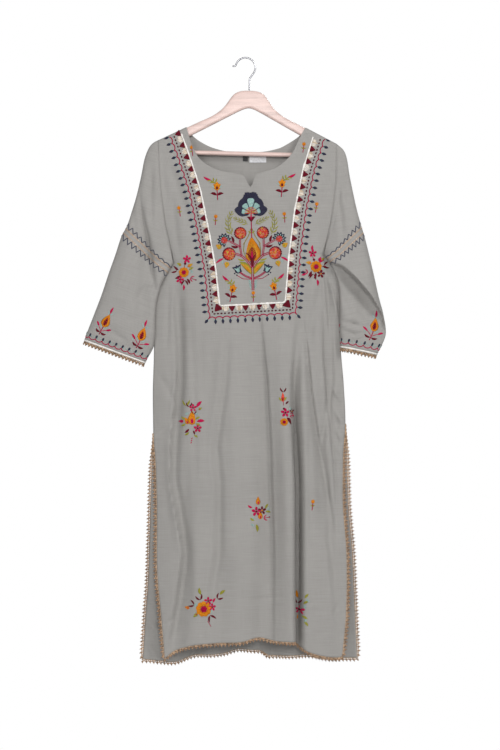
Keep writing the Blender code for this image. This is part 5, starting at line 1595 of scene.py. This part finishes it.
def draw_cuff(threads, girth, flames, lean):
    """A sleeve's trim above its cuff: scallops with navy ovals, and flame-shaped motifs over them. They lean
    one way on its front and the other way behind, because the cuff is cut askew."""
    count = int(round(girth / CUFF_SCALLOP))
    pitch = girth / count
    t = np.linspace(0, 1, 8)
    for i in range(count):
        x = i * pitch
        slant = math.tan(math.radians(lean if x < girth / 2 else -lean))
        threads.leaf((x + slant * 2, 15.5), (x + slant * 9, 23), 4.9, "navy", 0, 0.9, "oval")
        scallop = np.stack([x + pitch * t, 14.6 - 4.8 * np.sqrt(np.sin(math.pi * t))], axis=1)
        threads.chain(scallop, 2.4, "magenta", 3.4)
        for side in (-1, 1):
            threads.leaf((x + side * 3, 15), (x + side * 5.6, 20), 1.7, "aqua", 0, 0.5)
    for place in flames:
        draw_flame(Pen(threads, place, CUFF_FLAME_HEIGHT, lean if place < girth / 2 else -lean, down=1))


# ---------------------------------------------------------------- materials

class Wire:
    """A shader value that maths is written with."""

    def __init__(self, paint, socket):
        self.paint, self.socket = paint, socket

    def __add__(self, other):
        return self.paint.maths("ADD", self, other)

    def __mul__(self, other):
        return self.paint.maths("MULTIPLY", self, other)

    def sine(self):
        return self.paint.maths("SINE", self)

    def span(self, low, high):
        """A value of 0 to 1 stretched between two numbers."""
        return self * (high - low) + low


class Paint:
    """A material's nodes, each made by one call."""

    def __init__(self, name, **sockets):
        self.material = bpy.data.materials.new(name)
        self.material.use_nodes = True
        self.tree = self.material.node_tree
        self.shader = self.tree.nodes["Principled BSDF"]
        self.set(self.shader, sockets)

    def set(self, node, values):
        for key, value in values.items():
            socket = node.inputs[key.replace("_", " ") if isinstance(key, str) else key]
            if isinstance(value, Wire):
                self.tree.links.new(value.socket, socket)
            else:
                socket.default_value = value

    def node(self, kind, settings=None, inputs=None, output=0):
        """Adds a node: its own settings first, then its sockets' values or links."""
        node = self.tree.nodes.new(kind)
        for key, value in (settings or {}).items():
            if key == "stops":
                ramp = node.color_ramp.elements
                while len(ramp) < len(value):
                    ramp.new(0.5)
                for stop, (place, colour) in zip(ramp, value):
                    stop.position = place
                    stop.color = (*colour, 1)
            else:
                setattr(node, key, value)
        self.set(node, inputs or {})
        return Wire(self, node.outputs[output])

    def maths(self, operation, *values):
        return self.node("ShaderNodeMath", {"operation": operation}, dict(enumerate(values)))

    def object_place(self):
        return self.node("ShaderNodeTexCoord", output="Object")

    def flat_place(self):
        return self.node("ShaderNodeUVMap", {"uv_map": "flat"})

    def attribute(self, name, output="Color"):
        return self.node("ShaderNodeAttribute", {"attribute_name": name}, output=output)

    def scaled(self, place, scale, rotation=(0, 0, 0)):
        return self.node("ShaderNodeMapping", None, {"Vector": place, "Scale": scale, "Rotation": rotation})

    def noise(self, place, scale, detail=3.0, rough=0.55):
        """Noise on a place. A scale of three numbers stretches it."""
        if isinstance(scale, tuple):
            place, scale = self.scaled(place, scale), 1.0
        return self.node("ShaderNodeTexNoise", None,
                         {"Vector": place, "Scale": scale, "Detail": detail, "Roughness": rough})

    def part(self, vector, axis):
        return self.node("ShaderNodeSeparateXYZ", None, {0: vector}, axis)

    def ribs(self, place, axis, pitch):
        """Even waves along an axis."""
        return (self.part(place, axis) * (2 * math.pi / pitch)).sine()

    def ramp(self, value, *stops):
        return self.node("ShaderNodeValToRGB", {"stops": stops}, {0: value})

    def tones(self, value, colour, *stops):
        """A ramp through shades of one colour: each stop's place, and its share of the colour."""
        return self.ramp(value, *((place, shade(colour, share)[:3]) for place, share in stops))

    def mask(self, value, start, end):
        """Black up to one value and white from another."""
        return self.ramp(value, (start, (0, 0, 0)), (end, (1, 1, 1)))

    def blend(self, share, first, second, mode="MIX"):
        return self.node("ShaderNodeMix", {"data_type": "RGBA", "blend_type": mode},
                         {0: share, 6: first, 7: second}, 2)

    def finish(self, base, roughness, height=None, distance=0.0, strength=1.0):
        """Joins the colour, the roughness and the bump's height to the shader, and gives the material."""
        self.set(self.shader, {"Base Color": base, "Roughness": roughness})
        if height is not None:
            inputs = {"Height": height, "Distance": distance, "Strength": strength}
            self.set(self.shader, {"Normal": self.node("ShaderNodeBump", None, inputs)})
        return self.material


def shade(colour, share):
    """A lighter or darker shade of a colour, with its alpha."""
    return (*(float(c) * share for c in colour), 1.0)


@functools.lru_cache(maxsize=None)
def kurta_cloth():
    """Grey handloom cotton: an open plain weave with thick and thin weft yarns."""
    colour = settings().cloth_colour
    paint = Paint("kurta_cloth", Roughness=0.92, Specular_IOR_Level=0.25)
    flat = paint.flat_place()
    warp, weft = paint.ribs(flat, 0, WEAVE_PITCH), paint.ribs(flat, 1, WEAVE_PITCH)
    slub = paint.noise(flat, (17, 620, 1), 4)
    warp_slub = paint.noise(flat, (520, 20, 1), 3)
    cloud = paint.noise(flat, 9.0, 4)
    tone = slub * 0.5 + warp_slub * 0.2 + cloud * 0.3
    base = paint.tones(tone, colour, (0.34, 0.90), (0.5, 1.0), (0.66, 1.10))
    knots = paint.mask(paint.noise(flat, (140, 900, 1), 2), 0.66, 0.74)
    base = paint.blend(knots * 0.22, base, shade(colour, 1.35))
    height = warp * weft * 0.5 + slub * 1.6 + warp_slub * 0.7
    return paint.finish(base, cloud.span(0.84, 0.98), height, 0.0004, 0.5)


@functools.lru_cache(maxsize=None)
def thread():
    """Stranded cotton in satin stitch: its colour is the stitch's own. Fine lines along the strands are
    painted darker between them as painted shade and lighter on them as painted highlight, and the thread is
    mottled at random.
    """
    paint = Paint("embroidery_thread", Roughness=0.55, Specular_IOR_Level=0.18)
    own = paint.attribute("thread")
    lay = paint.attribute("stitch", "Vector")
    strand = (paint.part(lay, 0) * (2 * math.pi / STRAND_PITCH) + paint.part(lay, 2)).sine()
    thread_mottle = paint.noise(paint.object_place(), 420.0, 2)
    # Shaded and lit copies of the stitch's colour. The strand lines mix them as painted shade and painted
    # highlight, and the random mottle mixes them too.
    dark = paint.blend(1.0, own, (0.58, 0.56, 0.56, 1), "MULTIPLY")
    light = paint.blend(1.0, own, (1.12, 1.1, 1.08, 1), "MULTIPLY")
    base = paint.blend(paint.mask(strand * 0.3 + thread_mottle * 0.7, 0.2, 0.6), dark, light)
    return paint.finish(base, thread_mottle.span(0.48, 0.7), strand, 0.00022, 0.7)


@functools.lru_cache(maxsize=None)
def crochet():
    """Twisted ecru cotton yarn, darker or lighter by the stitch's own colour. The darker brown is painted
    shade in the holes and on the picots' sides, and the twist adds faint painted shade in its grooves.
    """
    paint = Paint("crochet_lace", Roughness=0.88, Sheen_Weight=0.15)
    twist = paint.scaled(paint.object_place(), (900, 900, 900), (0.3, 0.8, 0.5))
    ply = (paint.part(twist, 0) + paint.part(twist, 2)).sine()
    tone = paint.noise(paint.object_place(), 160.0, 3)
    # The twist's waves also lighten and darken the yarn a little, as faint painted shade in its grooves.
    yarn = paint.tones(tone + ply * 0.08, settings().lace_colour, (0.36, 0.55), (0.5, 1.0), (0.66, 1.35))
    base = paint.blend(1.0, paint.attribute("thread"), yarn, "MULTIPLY")
    return paint.finish(base, tone.span(0.78, 0.95), ply, 0.0002, 0.6)


@functools.lru_cache(maxsize=None)
def satin():
    """Off-white satin ribbon with fine ribs."""
    paint = Paint("white_satin", Roughness=0.34, Sheen_Weight=0.2, Specular_IOR_Level=0.6)
    flat = paint.flat_place()
    ribs = paint.ribs(flat, 0, 0.0011)
    tone = paint.noise(flat, 240.0, 3)
    base = paint.ramp(tone, (0.3, (0.62, 0.59, 0.55)), (0.55, (0.84, 0.81, 0.77)), (0.8, (0.95, 0.94, 0.92)))
    return paint.finish(base, tone.span(0.26, 0.44), ribs * 0.4 + tone, 0.00025, 0.5)


@functools.lru_cache(maxsize=None)
def gold_ribbon():
    """Beige ribbon woven with metal thread: narrow ribs with bright flecks. The flecks are more metallic, and
    they are also painted near white as painted glints.
    """
    paint = Paint("metal_ribbon", Roughness=0.42, Metallic=0.3, Specular_IOR_Level=0.6)
    flat = paint.flat_place()
    ribs = paint.ribs(flat, 0, 0.0016)
    fleck = paint.noise(flat, (700, 420, 1), 2)
    bright = paint.mask(fleck, 0.60, 0.74)
    # Flecks of metal thread, partly real and partly painted glints: their colour is painted near white as
    # well as made more metallic.
    base = paint.blend(bright, (0.40, 0.29, 0.21, 1), (0.94, 0.86, 0.78, 1))
    paint.set(paint.shader, {"Metallic": bright * 0.5 + 0.15})
    return paint.finish(base, fleck.span(0.3, 0.6), ribs * 0.6 + fleck, 0.0003, 0.6)


@functools.lru_cache(maxsize=None)
def navy_braid():
    """Dark blue plaited cord."""
    paint = Paint("navy_braid", Roughness=0.75, Sheen_Weight=0.2)
    flat = paint.flat_place()
    plait = (paint.part(flat, 0) * (2 * math.pi / 0.0013) + paint.part(flat, 1) * 1400.0).sine()
    tone = paint.noise(flat, 500.0, 2)
    # The plait's waves darken its grooves and lighten its strands, as painted shade and painted highlight
    # over random tone.
    base = paint.ramp(tone * 0.6 + plait * 0.2, (0.1, (0.016, 0.018, 0.04)), (0.5, (0.04, 0.045, 0.09)),
                      (0.75, (0.10, 0.11, 0.17)))
    return paint.finish(base, tone.span(0.62, 0.85), plait, 0.0003, 0.6)


@functools.lru_cache(maxsize=None)
def hanger_wood():
    """Pale beech under a thin warm varnish, its grain running a little askew along the arms."""
    paint = Paint("hanger_wood", Roughness=0.42, Coat_Weight=0.25, Coat_Roughness=0.25)
    place = paint.object_place()
    grain = paint.noise(paint.scaled(place, (9, 60, 150), (0, 0.5, 0)), 1.0, 5, 0.6)
    fleck = paint.noise(paint.scaled(place, (70, 500, 900), (0, 0.5, 0)), 1.0, 3)
    tone = grain * 0.75 + fleck * 0.25
    base = paint.tones(tone, settings().wood_colour, (0.32, 0.72), (0.5, 1.0), (0.68, 1.16))
    return paint.finish(base, tone.span(0.34, 0.52), tone, 0.0003, 0.3)


@functools.lru_cache(maxsize=None)
def hook_steel():
    """Polished steel wire with faint lines drawn along it."""
    paint = Paint("hook_steel", Metallic=1.0, Roughness=0.16)
    drawn = paint.noise(paint.object_place(), (900, 900, 60), 3)
    base = paint.ramp(drawn, (0.3, (0.26, 0.26, 0.28)), (0.7, (0.44, 0.44, 0.46)))
    return paint.finish(base, drawn.span(0.1, 0.26))


@functools.lru_cache(maxsize=None)
def woven_label(name, light):
    """Blank woven tape, near white or near black."""
    paint = Paint(name, Roughness=0.6, Sheen_Weight=0.1)
    place = paint.object_place()
    weave = paint.ribs(place, 0, LABEL_PITCH) * paint.ribs(place, 2, LABEL_PITCH)
    tone = paint.noise(place, 300.0, 2)
    low, high = (0.62, 0.86) if light else (0.012, 0.04)
    # The weave's waves darken and lighten the yarn a little, as painted shade in its grooves over random
    # tone.
    base = paint.ramp(tone + weave * 0.1, (0.25, (low, low, low * 1.02)), (0.75, (high, high, high * 1.02)))
    return paint.finish(base, tone.span(0.5, 0.7), weave, 0.0001, 0.6)


@functools.lru_cache(maxsize=None)
def floor_paint():
    """A pale, plain studio floor."""
    paint = Paint("studio_floor")
    tone = paint.noise(paint.object_place(), 3.0, 3)
    return paint.finish(paint.ramp(tone, (0.3, (0.80, 0.80, 0.79)), (0.7, (0.86, 0.86, 0.85))), 0.9)


# ---------------------------------------------------------------- pieces

class LaceChart:
    """Places along an edge: repeats of the crochet along it, and millimetres out from the cloth's edge."""

    def __init__(self, centres, normals, outs, widths):
        along = path_lengths(centres)
        self.count = int(round(along[-1] / CROCHET_PITCH))
        at = np.linspace(0, along[-1], self.count * LACE_SAMPLES + 1)
        self.grids = [np.stack([np.interp(at, along, grid[:, i]) for i in range(3)], axis=1)
                      for grid in (centres, normals, outs)]
        self.width = np.interp(at, along, widths)

    def place(self, repeat, out):
        repeat, out = np.broadcast_arrays(np.asarray(repeat, float), np.asarray(out, float))
        last = self.count * LACE_SAMPLES
        spot = np.clip(repeat * LACE_SAMPLES, 0, last)
        i = np.clip(spot.astype(int), 0, last - 1)
        t = (spot - i)[..., None]
        centre, normal, way = [grid[i] * (1 - t) + grid[i + 1] * t for grid in self.grids]
        return centre + unit(way) * (out * self.width[i])[..., None], unit(normal), np.ones(i.shape, bool)


# One repeat of the crochet: two rails, a small hole on each side of a post, and a picot. The darker brown bar
# between the holes and the picot's darker brown sides are painted shade. Each bar runs from a share of the
# repeat and a distance out to another.
CROCHET_BARS = [
    ((-0.05, 0.4), (1.05, 0.4), 2.3, "lace", 0.6, "bar"),
    ((-0.05, 3.9), (1.05, 3.9), 2.0, "lace", 0.7, "bar"),
    # The darker brown bar is painted shade that stands in the holes.
    ((0.08, 0.8), (0.08, 3.8), 2.2, "lace_brown", 0.6, "bar"),
    ((0.42, 0.8), (0.62, 3.8), 2.4, "lace", 0.9, "bar"),
    # The picot's darker brown sides are painted shade round its lighter middle.
    ((0.46, 3.6), (0.60, 9.4), 6.4, "lace_brown", 0.8, "tooth"),
    ((0.50, 4.4), (0.58, 8.2), 2.6, "lace", 1.5, "leaf"),
]


def draw_crochet(threads, count):
    """The edging's repeats."""
    for i in range(count):
        for (start, low), (end, high), width, colour, height, form in CROCHET_BARS:
            threads.leaf((i + start, low), (i + end, high), width, colour, 0, height, form)


def smoothed(grid, times):
    """A row of values or places, each drawn towards its neighbours."""
    for _ in range(times):
        grid = (np.concatenate([grid[:1], grid[:-1]]) + grid * 2 + np.concatenate([grid[1:], grid[-1:]])) / 4
    return grid


def panel_edge(cloth):
    """A panel's free edge: down the left slit, along the hem and up the right slit."""
    side = cloth.panel.side
    slit = np.linspace(2.0, 3.0, SLIT_STATIONS)
    u = np.concatenate([-np.ones(SLIT_STATIONS), cloth.us[1:-1], np.ones(SLIT_STATIONS)])
    v = np.concatenate([slit, np.full(len(cloth.us) - 2, 3.0), slit[::-1]])
    centres, normals = cloth.at(u, v, -CLOTH_WALL / 2)
    on_slit = (np.abs(u) == 1) & (v < LAST_OF_SLIT)
    down = unit(cloth.at(u, 3.0)[0] - cloth.at(u, HEM_FROM)[0])
    aside = np.zeros_like(centres)
    aside[:, 0] = np.sign(u)
    outs = np.where(on_slit[:, None], aside, down)
    facing = np.where(on_slit[:, None], np.array([0.0, side, 0.0]), normals)
    centres[:, 1] = side * np.maximum(side * centres[:, 1], SEAM / 2 + LACE_CLEAR)
    widths = LACE_START + (1 - LACE_START) * smooth_step(v, 2.0, LACE_FULL)
    return centres, unit(smoothed(facing, EDGE_TURNS)), unit(smoothed(outs, EDGE_TURNS)), widths


def cuff_edge(cloth):
    """A sleeve's end, all round."""
    centres, normals = cloth.at(cloth.us, cloth.vs[-1], -CLOTH_WALL / 2)
    down = unit(cloth.at(cloth.us, cloth.vs[-1])[0] - cloth.at(cloth.us, cloth.vs[-1] - CUFF_FROM)[0])
    return centres, normals, unit(down + down.mean(axis=0)), np.ones(len(centres))


def sheet_size(cloth):
    """The width, length and area of a piece of cloth laid flat, in metres."""
    corner = cloth.points[:-1, :-1]
    cross = np.cross(cloth.points[1:, :-1] - corner, cloth.points[:-1, 1:] - corner)
    area = np.linalg.norm(cross, axis=2).sum() * MM * MM
    width, length = np.ptp(cloth.flat[..., 0]), np.ptp(cloth.flat[..., 1])
    return (float(width), float(length)), float(min(area, width * length))


def colour_setting(name, description, default):
    return bpy.props.FloatVectorProperty(name=name, description=description, subtype="COLOR", size=3,
                                         default=default, min=0, max=1)


def lamp_setting(name, description, default):
    return bpy.props.FloatProperty(name=name, description=description, default=default, min=0, unit="POWER")


class KurtaSettings(bpy.types.PropertyGroup):
    """Sizes and colours of the tunic's looks."""
    cloth_colour: colour_setting("Cloth colour", "The grey cotton's colour", (0.335, 0.322, 0.305))
    cloth_wall: bpy.props.FloatProperty(
        name="Cloth thickness", description="Thickness of the cotton", default=CLOTH_WALL * MM, min=0.0004,
        max=WALL * MM, unit="LENGTH")
    lace_colour: colour_setting("Lace colour", "The crochet edging's colour", (0.49, 0.345, 0.235))
    wood_colour: colour_setting("Wood colour", "The hanger's colour", (0.70, 0.52, 0.47))
    key_light: lamp_setting("Key light", "Power of the lamp at the upper right, in watts", 59.0)
    fill_light: lamp_setting("Fill light", "Power of the lamp on the left, in watts", 33.0)
    front_light: lamp_setting("Front light", "Power of the lamp in front, in watts", 70.0)
    back_light: lamp_setting("Back light", "Power of the lamp behind, in watts", 75.0)


class KURTA_OT_panels(bpy.types.Operator):
    """Lay the front and back panels' cloth on their forms"""
    bl_idname = "kurta.panels"
    bl_label = "Front and back panels"

    def execute(self, context):
        for word in ("front", "back"):
            add_cloth(f"{word}_cloth", cloth_of(word), f"{word}_panel", kurta_cloth())
        return {"FINISHED"}


class KURTA_OT_sleeves(bpy.types.Operator):
    """Lay the sleeves' cloth on their forms"""
    bl_idname = "kurta.sleeves"
    bl_label = "Sleeves"

    def execute(self, context):
        for word in ("left", "right"):
            add_cloth(f"sleeve_cloth_{word}", cloth_of(word), f"sleeve_{word}", kurta_cloth())
        return {"FINISHED"}


# Each line round a cuff: its name, how far it lies above the edge, half its width and its material.
CUFF_LINES = [("satin_line", 2.6, 1.7, satin), ("grey_cord", 6.6, 0.6, kurta_cloth)]


class KURTA_OT_tapes(bpy.types.Operator):
    """Sew the zigzag braids, metal ribbons and satin lines on the sleeves, and the piping on the yoke"""
    bl_idname = "kurta.tapes"
    bl_label = "Tapes and piping"

    def execute(self, context):
        for word in ("left", "right"):
            self.add_sleeve_tapes(word, cloth_of(word))
        self.add_piping(cloth_of("front"))
        return {"FINISHED"}

    @staticmethod
    def add_sleeve_tapes(word, cloth):
        first, second = TAPE_RINGS
        u = np.linspace(0, 1, ROUND_STATIONS)
        cords = []
        for name, share in RIBBON_SHARES:
            line = cloth.at(u, first + (second - first) * share, RIBBON_LIFT)
            ribbon = f"metal_ribbon_{word}_{name}"
            cords.append(add_cord(ribbon, *line, *RIBBON_SIZE, gold_ribbon(), 12, True))
        turns = int(round(path_lengths(cloth.at(u, first)[0])[-1] / ZIGZAG_PITCH))
        u = np.linspace(0, 1, turns * ZIGZAG_STATIONS + 1)
        wave = np.abs((u * turns + 0.25) % 1.0 * 2 - 1) * 2 - 1
        for name, share in ZIGZAG_SHARES:
            line = cloth.at(u, first + share + wave * ZIGZAG_REACH, BRAID_LIFT)
            braid = f"zigzag_braid_{word}_{name}"
            cords.append(add_cord(braid, *line, *BRAID_SIZE, navy_braid(), 8, True))
        for cord in cords:
            placed(cord, "sleeve_tape", f"sleeve_tape_{word}")
        chart = CuffChart(cloth)
        around = np.linspace(0, chart.girth, CUFF_STATIONS)
        for name, above, half, material in CUFF_LINES:
            centres, normals, _ = chart.place(around, above)
            centres[-1], normals[-1] = centres[0], normals[0]
            line = add_cord(f"{name}_{word}", centres, normals, half, CUFF_LINE_HEIGHT, material(), 10, True)
            placed(line, "satin_ribbon", f"cuff_ribbon_{word}")

    @staticmethod
    def add_piping(cloth):
        line = np.array(PIPING_LEFT + PIPING_BOTTOM[1:] + PIPING_RIGHT[1:], float)
        line = smoothed(even_line(line, 3.0), 3)
        centres, normals, _ = PanelChart(cloth).place(line[:, 0], line[:, 1])
        draw = np.random.default_rng(4)
        usual, wander = PIPING_UNEVEN
        half = PIPING_WIDTH / 2 * (usual + wander * smoothed(draw.normal(size=len(line)), 1))
        piping = add_cord("yoke_piping", centres, normals, half, PIPING_HEIGHT, satin(), 12)
        placed(piping, "satin_ribbon", "yoke_ribbon")


class KURTA_OT_embroidery(bpy.types.Operator):
    """Work the plant, the yoke's border, the scattered posies and the cuffs' trim in thread"""
    bl_idname = "kurta.embroidery"
    bl_label = "Embroidery"

    def execute(self, context):
        chart = PanelChart(cloth_of("front"))
        for name, seed, draw in (("yoke_border", 2, draw_border), ("front_embroidery", 3, draw_front)):
            threads = Threads(chart, seed)
            draw(threads)
            placed(threads.build(name, thread()), "kurta_cloth")
        for word, lean, flames in CUFF_FLAMES:
            cuff = CuffChart(cloth_of(word))
            trim = Threads(cuff, 5)
            places = [np.interp(share, cloth_of(word).us, cuff.round) for share in flames]
            draw_cuff(trim, cuff.girth, places, lean)
            placed(trim.build(f"cuff_embroidery_{word}", thread()), "kurta_cloth")
        return {"FINISHED"}


class KURTA_OT_lace(bpy.types.Operator):
    """Crochet the edging on the slits, hems and cuffs"""
    bl_idname = "kurta.lace"
    bl_label = "Crochet edging"

    def execute(self, context):
        edges = {f"{word}_lace": panel_edge(cloth_of(word)) for word in ("front", "back")}
        edges.update({f"cuff_lace_{word}": cuff_edge(cloth_of(word)) for word in ("left", "right")})
        for node, edge in edges.items():
            chart = LaceChart(*edge)
            threads = Threads(chart, 7, below=1.0)
            draw_crochet(threads, chart.count)
            placed(threads.build(f"crochet_{node}", crochet()), "crochet_lace", node)
        return {"FINISHED"}


class KURTA_OT_hanger(bpy.types.Operator):
    """Shape the hanger's arms, its bar and its hook"""
    bl_idname = "kurta.hanger"
    bl_label = "Hanger"

    def execute(self, context):
        self.add_arms()
        self.add_bar()
        self.add_hook()
        return {"FINISHED"}

    @staticmethod
    def to_garment(x, y, z, on_stem=True):
        """A place on the tilted hanger, in garment millimetres."""
        if on_stem:
            x, z = x + STEM_X, z + SHOULDER_Z
        turned_x = x * math.cos(HANGER_TILT) + z * math.sin(HANGER_TILT)
        turned_z = z * math.cos(HANGER_TILT) - x * math.sin(HANGER_TILT)
        return np.array([turned_x - GARMENT_X, y, turned_z - SHOULDER_Z])

    def add_arms(self):
        outline = np.array(arm_outline(), float)
        for _ in range(2):
            after = np.roll(outline, -1, axis=0)
            cut_corners = [outline * 0.75 + after * 0.25, outline * 0.25 + after * 0.75]
            outline = np.stack(cut_corners, axis=1).reshape(-1, 2)
        bm = bmesh.new()
        front = -WOOD_THICK / 2
        verts = [bm.verts.new(to_frame(self.to_garment(x, front, -drop))) for x, drop in outline]
        grown = bmesh.ops.extrude_face_region(bm, geom=[bm.faces.new(verts)])
        moved = [v for v in grown["geom"] if isinstance(v, bmesh.types.BMVert)]
        bmesh.ops.translate(bm, verts=moved, vec=Vector((0, WOOD_THICK * MM, 0)))
        bmesh.ops.recalc_face_normals(bm, faces=bm.faces)
        rims = [e for e in bm.edges if abs(e.verts[0].co.y - e.verts[1].co.y) < 1e-6]
        bmesh.ops.bevel(bm, geom=rims, offset=WOOD_ROUND * MM, segments=6, profile=0.5, affect="EDGES",
                        material=-1, clamp_overlap=True)
        arms = finish_mesh(bm, bpy.data.meshes.new("hanger_arms"), "hanger_arms", hanger_wood())
        placed(arms, "hanger_wood", "hanger_wood")

    def add_bar(self):
        centres = np.array([self.to_garment(x, 0, -BAR_DROP) for x in np.linspace(-BAR_HALF, BAR_HALF, 30)])
        placed(self.rod("trouser_bar", centres, BAR_RADIUS, 20, hanger_wood()), "hanger_wood", "hanger_bar")

    def add_hook(self):
        path = np.array([self.to_garment(x, y, z, False) for x, y, z in hook_path()])
        path = smoothed(even_line(path, 1.6), 2)
        placed(self.rod("hook_wire", path, WIRE_RADIUS, 14, hook_steel()), "hook_steel", "hook")

    @staticmethod
    def rod(name, centres, radius, sides, material):
        """A round rod with flat ends, rounded a little."""
        size = radius * np.concatenate([[0.0, 0.8], np.ones(len(centres) - 2), [0.8, 0.0]])
        ends = np.concatenate([[0], np.arange(len(centres)), [-1]])
        way = unit(np.gradient(centres, axis=0))[ends]
        normals = np.broadcast_to(np.array([0.0, -1.0, 0.0]), way.shape)
        angle = np.arange(sides + 1) * 2 * math.pi / sides
        points = swept(centres[ends], normals, way, np.cos(angle), np.sin(angle), size, size)
        bm, mesh = grid_mesh(name, points, wrap_columns=True)
        bmesh.ops.recalc_face_normals(bm, faces=bm.faces)
        return finish_mesh(bm, mesh, name, material)


class KURTA_OT_finish(bpy.types.Operator):
    """Give the labels their weave, and work out each sheet's flat size"""
    bl_idname = "kurta.finish_cloth"
    bl_label = "Labels and cut sizes"

    def execute(self, context):
        nodes = frame["nodes"]
        for name, light in (("label_white", True), ("label_dark", False)):
            for slot in nodes[name].material_slots:
                slot.material = woven_label(name, light)
        sewn = ["yoke_piping", "yoke_border", "front_embroidery", "crochet_front_lace"]
        self.sheet("front_cloth", "front", [PIECES[name] for name in sewn])
        labels = [nodes["label_white"], nodes["label_dark"]]
        self.sheet("back_cloth", "back", [PIECES["crochet_back_lace"], *labels])
        for word in ("left", "right"):
            sewn = [f"metal_ribbon_{word}_upper", f"metal_ribbon_{word}_lower", f"zigzag_braid_{word}_upper",
                    f"zigzag_braid_{word}_lower", f"satin_line_{word}", f"grey_cord_{word}",
                    f"cuff_embroidery_{word}", f"crochet_cuff_lace_{word}"]
            self.sheet(f"sleeve_cloth_{word}", word, [PIECES[name] for name in sewn])
        return {"FINISHED"}

    @staticmethod
    def sheet(name, word, carried):
        """Works out a sheet's flat size and area, and does nothing more with them; what is sewn on it is not
        used.
        """
        size, area = sheet_size(cloth_of(word))


class KURTA_OT_stage(bpy.types.Operator):
    """Set the pale floor, the soft studio light and the camera"""
    bl_idname = "kurta.stage"
    bl_label = "Stage"

    def execute(self, context):
        scene = context.scene
        bm = bmesh.new()
        bmesh.ops.create_circle(bm, cap_ends=True, segments=96, radius=FLOOR_RADIUS)
        bmesh.ops.translate(bm, verts=bm.verts, vec=Vector((0, 0, FLOOR_Z)))
        floor = finish_mesh(bm, bpy.data.meshes.new("studio_floor"), "studio_floor", floor_paint(), False)
        for name, place, size in LAMPS:
            self.add_light(name, place, size, getattr(settings(), f"{name}_light"))
        self.add_sky(scene)
        camera = bpy.data.objects.new("camera", bpy.data.cameras.new("camera"))
        scene.collection.objects.link(camera)
        camera.location = CAMERA_PLACE
        camera.rotation_euler = (math.pi / 2, 0, 0)
        camera.data.lens = CAMERA_LENS
        camera.data.sensor_width = SENSOR_WIDTH
        scene.camera = camera
        scene.view_settings.view_transform = "Standard"
        return {"FINISHED"}

    @staticmethod
    def add_light(name, place, size, watts):
        lamp = bpy.data.lights.new(name, "AREA")
        lamp.shape = "DISK"
        lamp.size = size
        lamp.energy = watts
        obj = bpy.data.objects.new(name, lamp)
        bpy.context.scene.collection.objects.link(obj)
        obj.location = place
        aim = Vector(AIM) - Vector(place)
        obj.rotation_euler = aim.to_track_quat("-Z", "Y").to_euler()

    @staticmethod
    def add_sky(scene):
        """A soft sky for the light, and plain white behind the object."""
        world = bpy.data.worlds.new("studio")
        scene.world = world
        world.use_nodes = True
        tree = world.node_tree
        white, soft = tree.nodes["Background"], tree.nodes.new("ShaderNodeBackground")
        for sky, colour, strength in ((white, (1, 1, 1, 1), 1.0), (soft, SKY_COLOUR, SKY_STRENGTH)):
            sky.inputs["Color"].default_value = colour
            sky.inputs["Strength"].default_value = strength
        path = tree.nodes.new("ShaderNodeLightPath")
        mix = tree.nodes.new("ShaderNodeMixShader")
        tree.links.new(path.outputs["Is Camera Ray"], mix.inputs[0])
        tree.links.new(soft.outputs[0], mix.inputs[1])
        tree.links.new(white.outputs[0], mix.inputs[2])
        tree.links.new(mix.outputs[0], tree.nodes["World Output"].inputs["Surface"])


class KURTA_PT_panel(bpy.types.Panel):
    """The tunic's pieces and their settings"""
    bl_idname = "KURTA_PT_panel"
    bl_label = "Kurta tunic"
    bl_space_type = "VIEW_3D"
    bl_region_type = "UI"
    bl_category = "Kurta"

    def draw(self, context):
        for name in KurtaSettings.__annotations__:
            self.layout.prop(context.scene.kurta, name)
        for step in STEPS:
            self.layout.operator(step.bl_idname)


STEPS = (KURTA_OT_panels, KURTA_OT_sleeves, KURTA_OT_tapes, KURTA_OT_embroidery, KURTA_OT_lace,
         KURTA_OT_hanger, KURTA_OT_finish, KURTA_OT_stage)
CLASSES = (KurtaSettings, *STEPS, KURTA_PT_panel)


def register():
    for each in CLASSES:
        bpy.utils.register_class(each)
    bpy.types.Scene.kurta = bpy.props.PointerProperty(type=KurtaSettings)


def unregister():
    del bpy.types.Scene.kurta
    for each in reversed(CLASSES):
        bpy.utils.unregister_class(each)


def main():
    register()
    for step in STEPS:
        group, name = step.bl_idname.split(".")
        getattr(getattr(bpy.ops, group), name)()


if __name__ == "__main__":
    main()
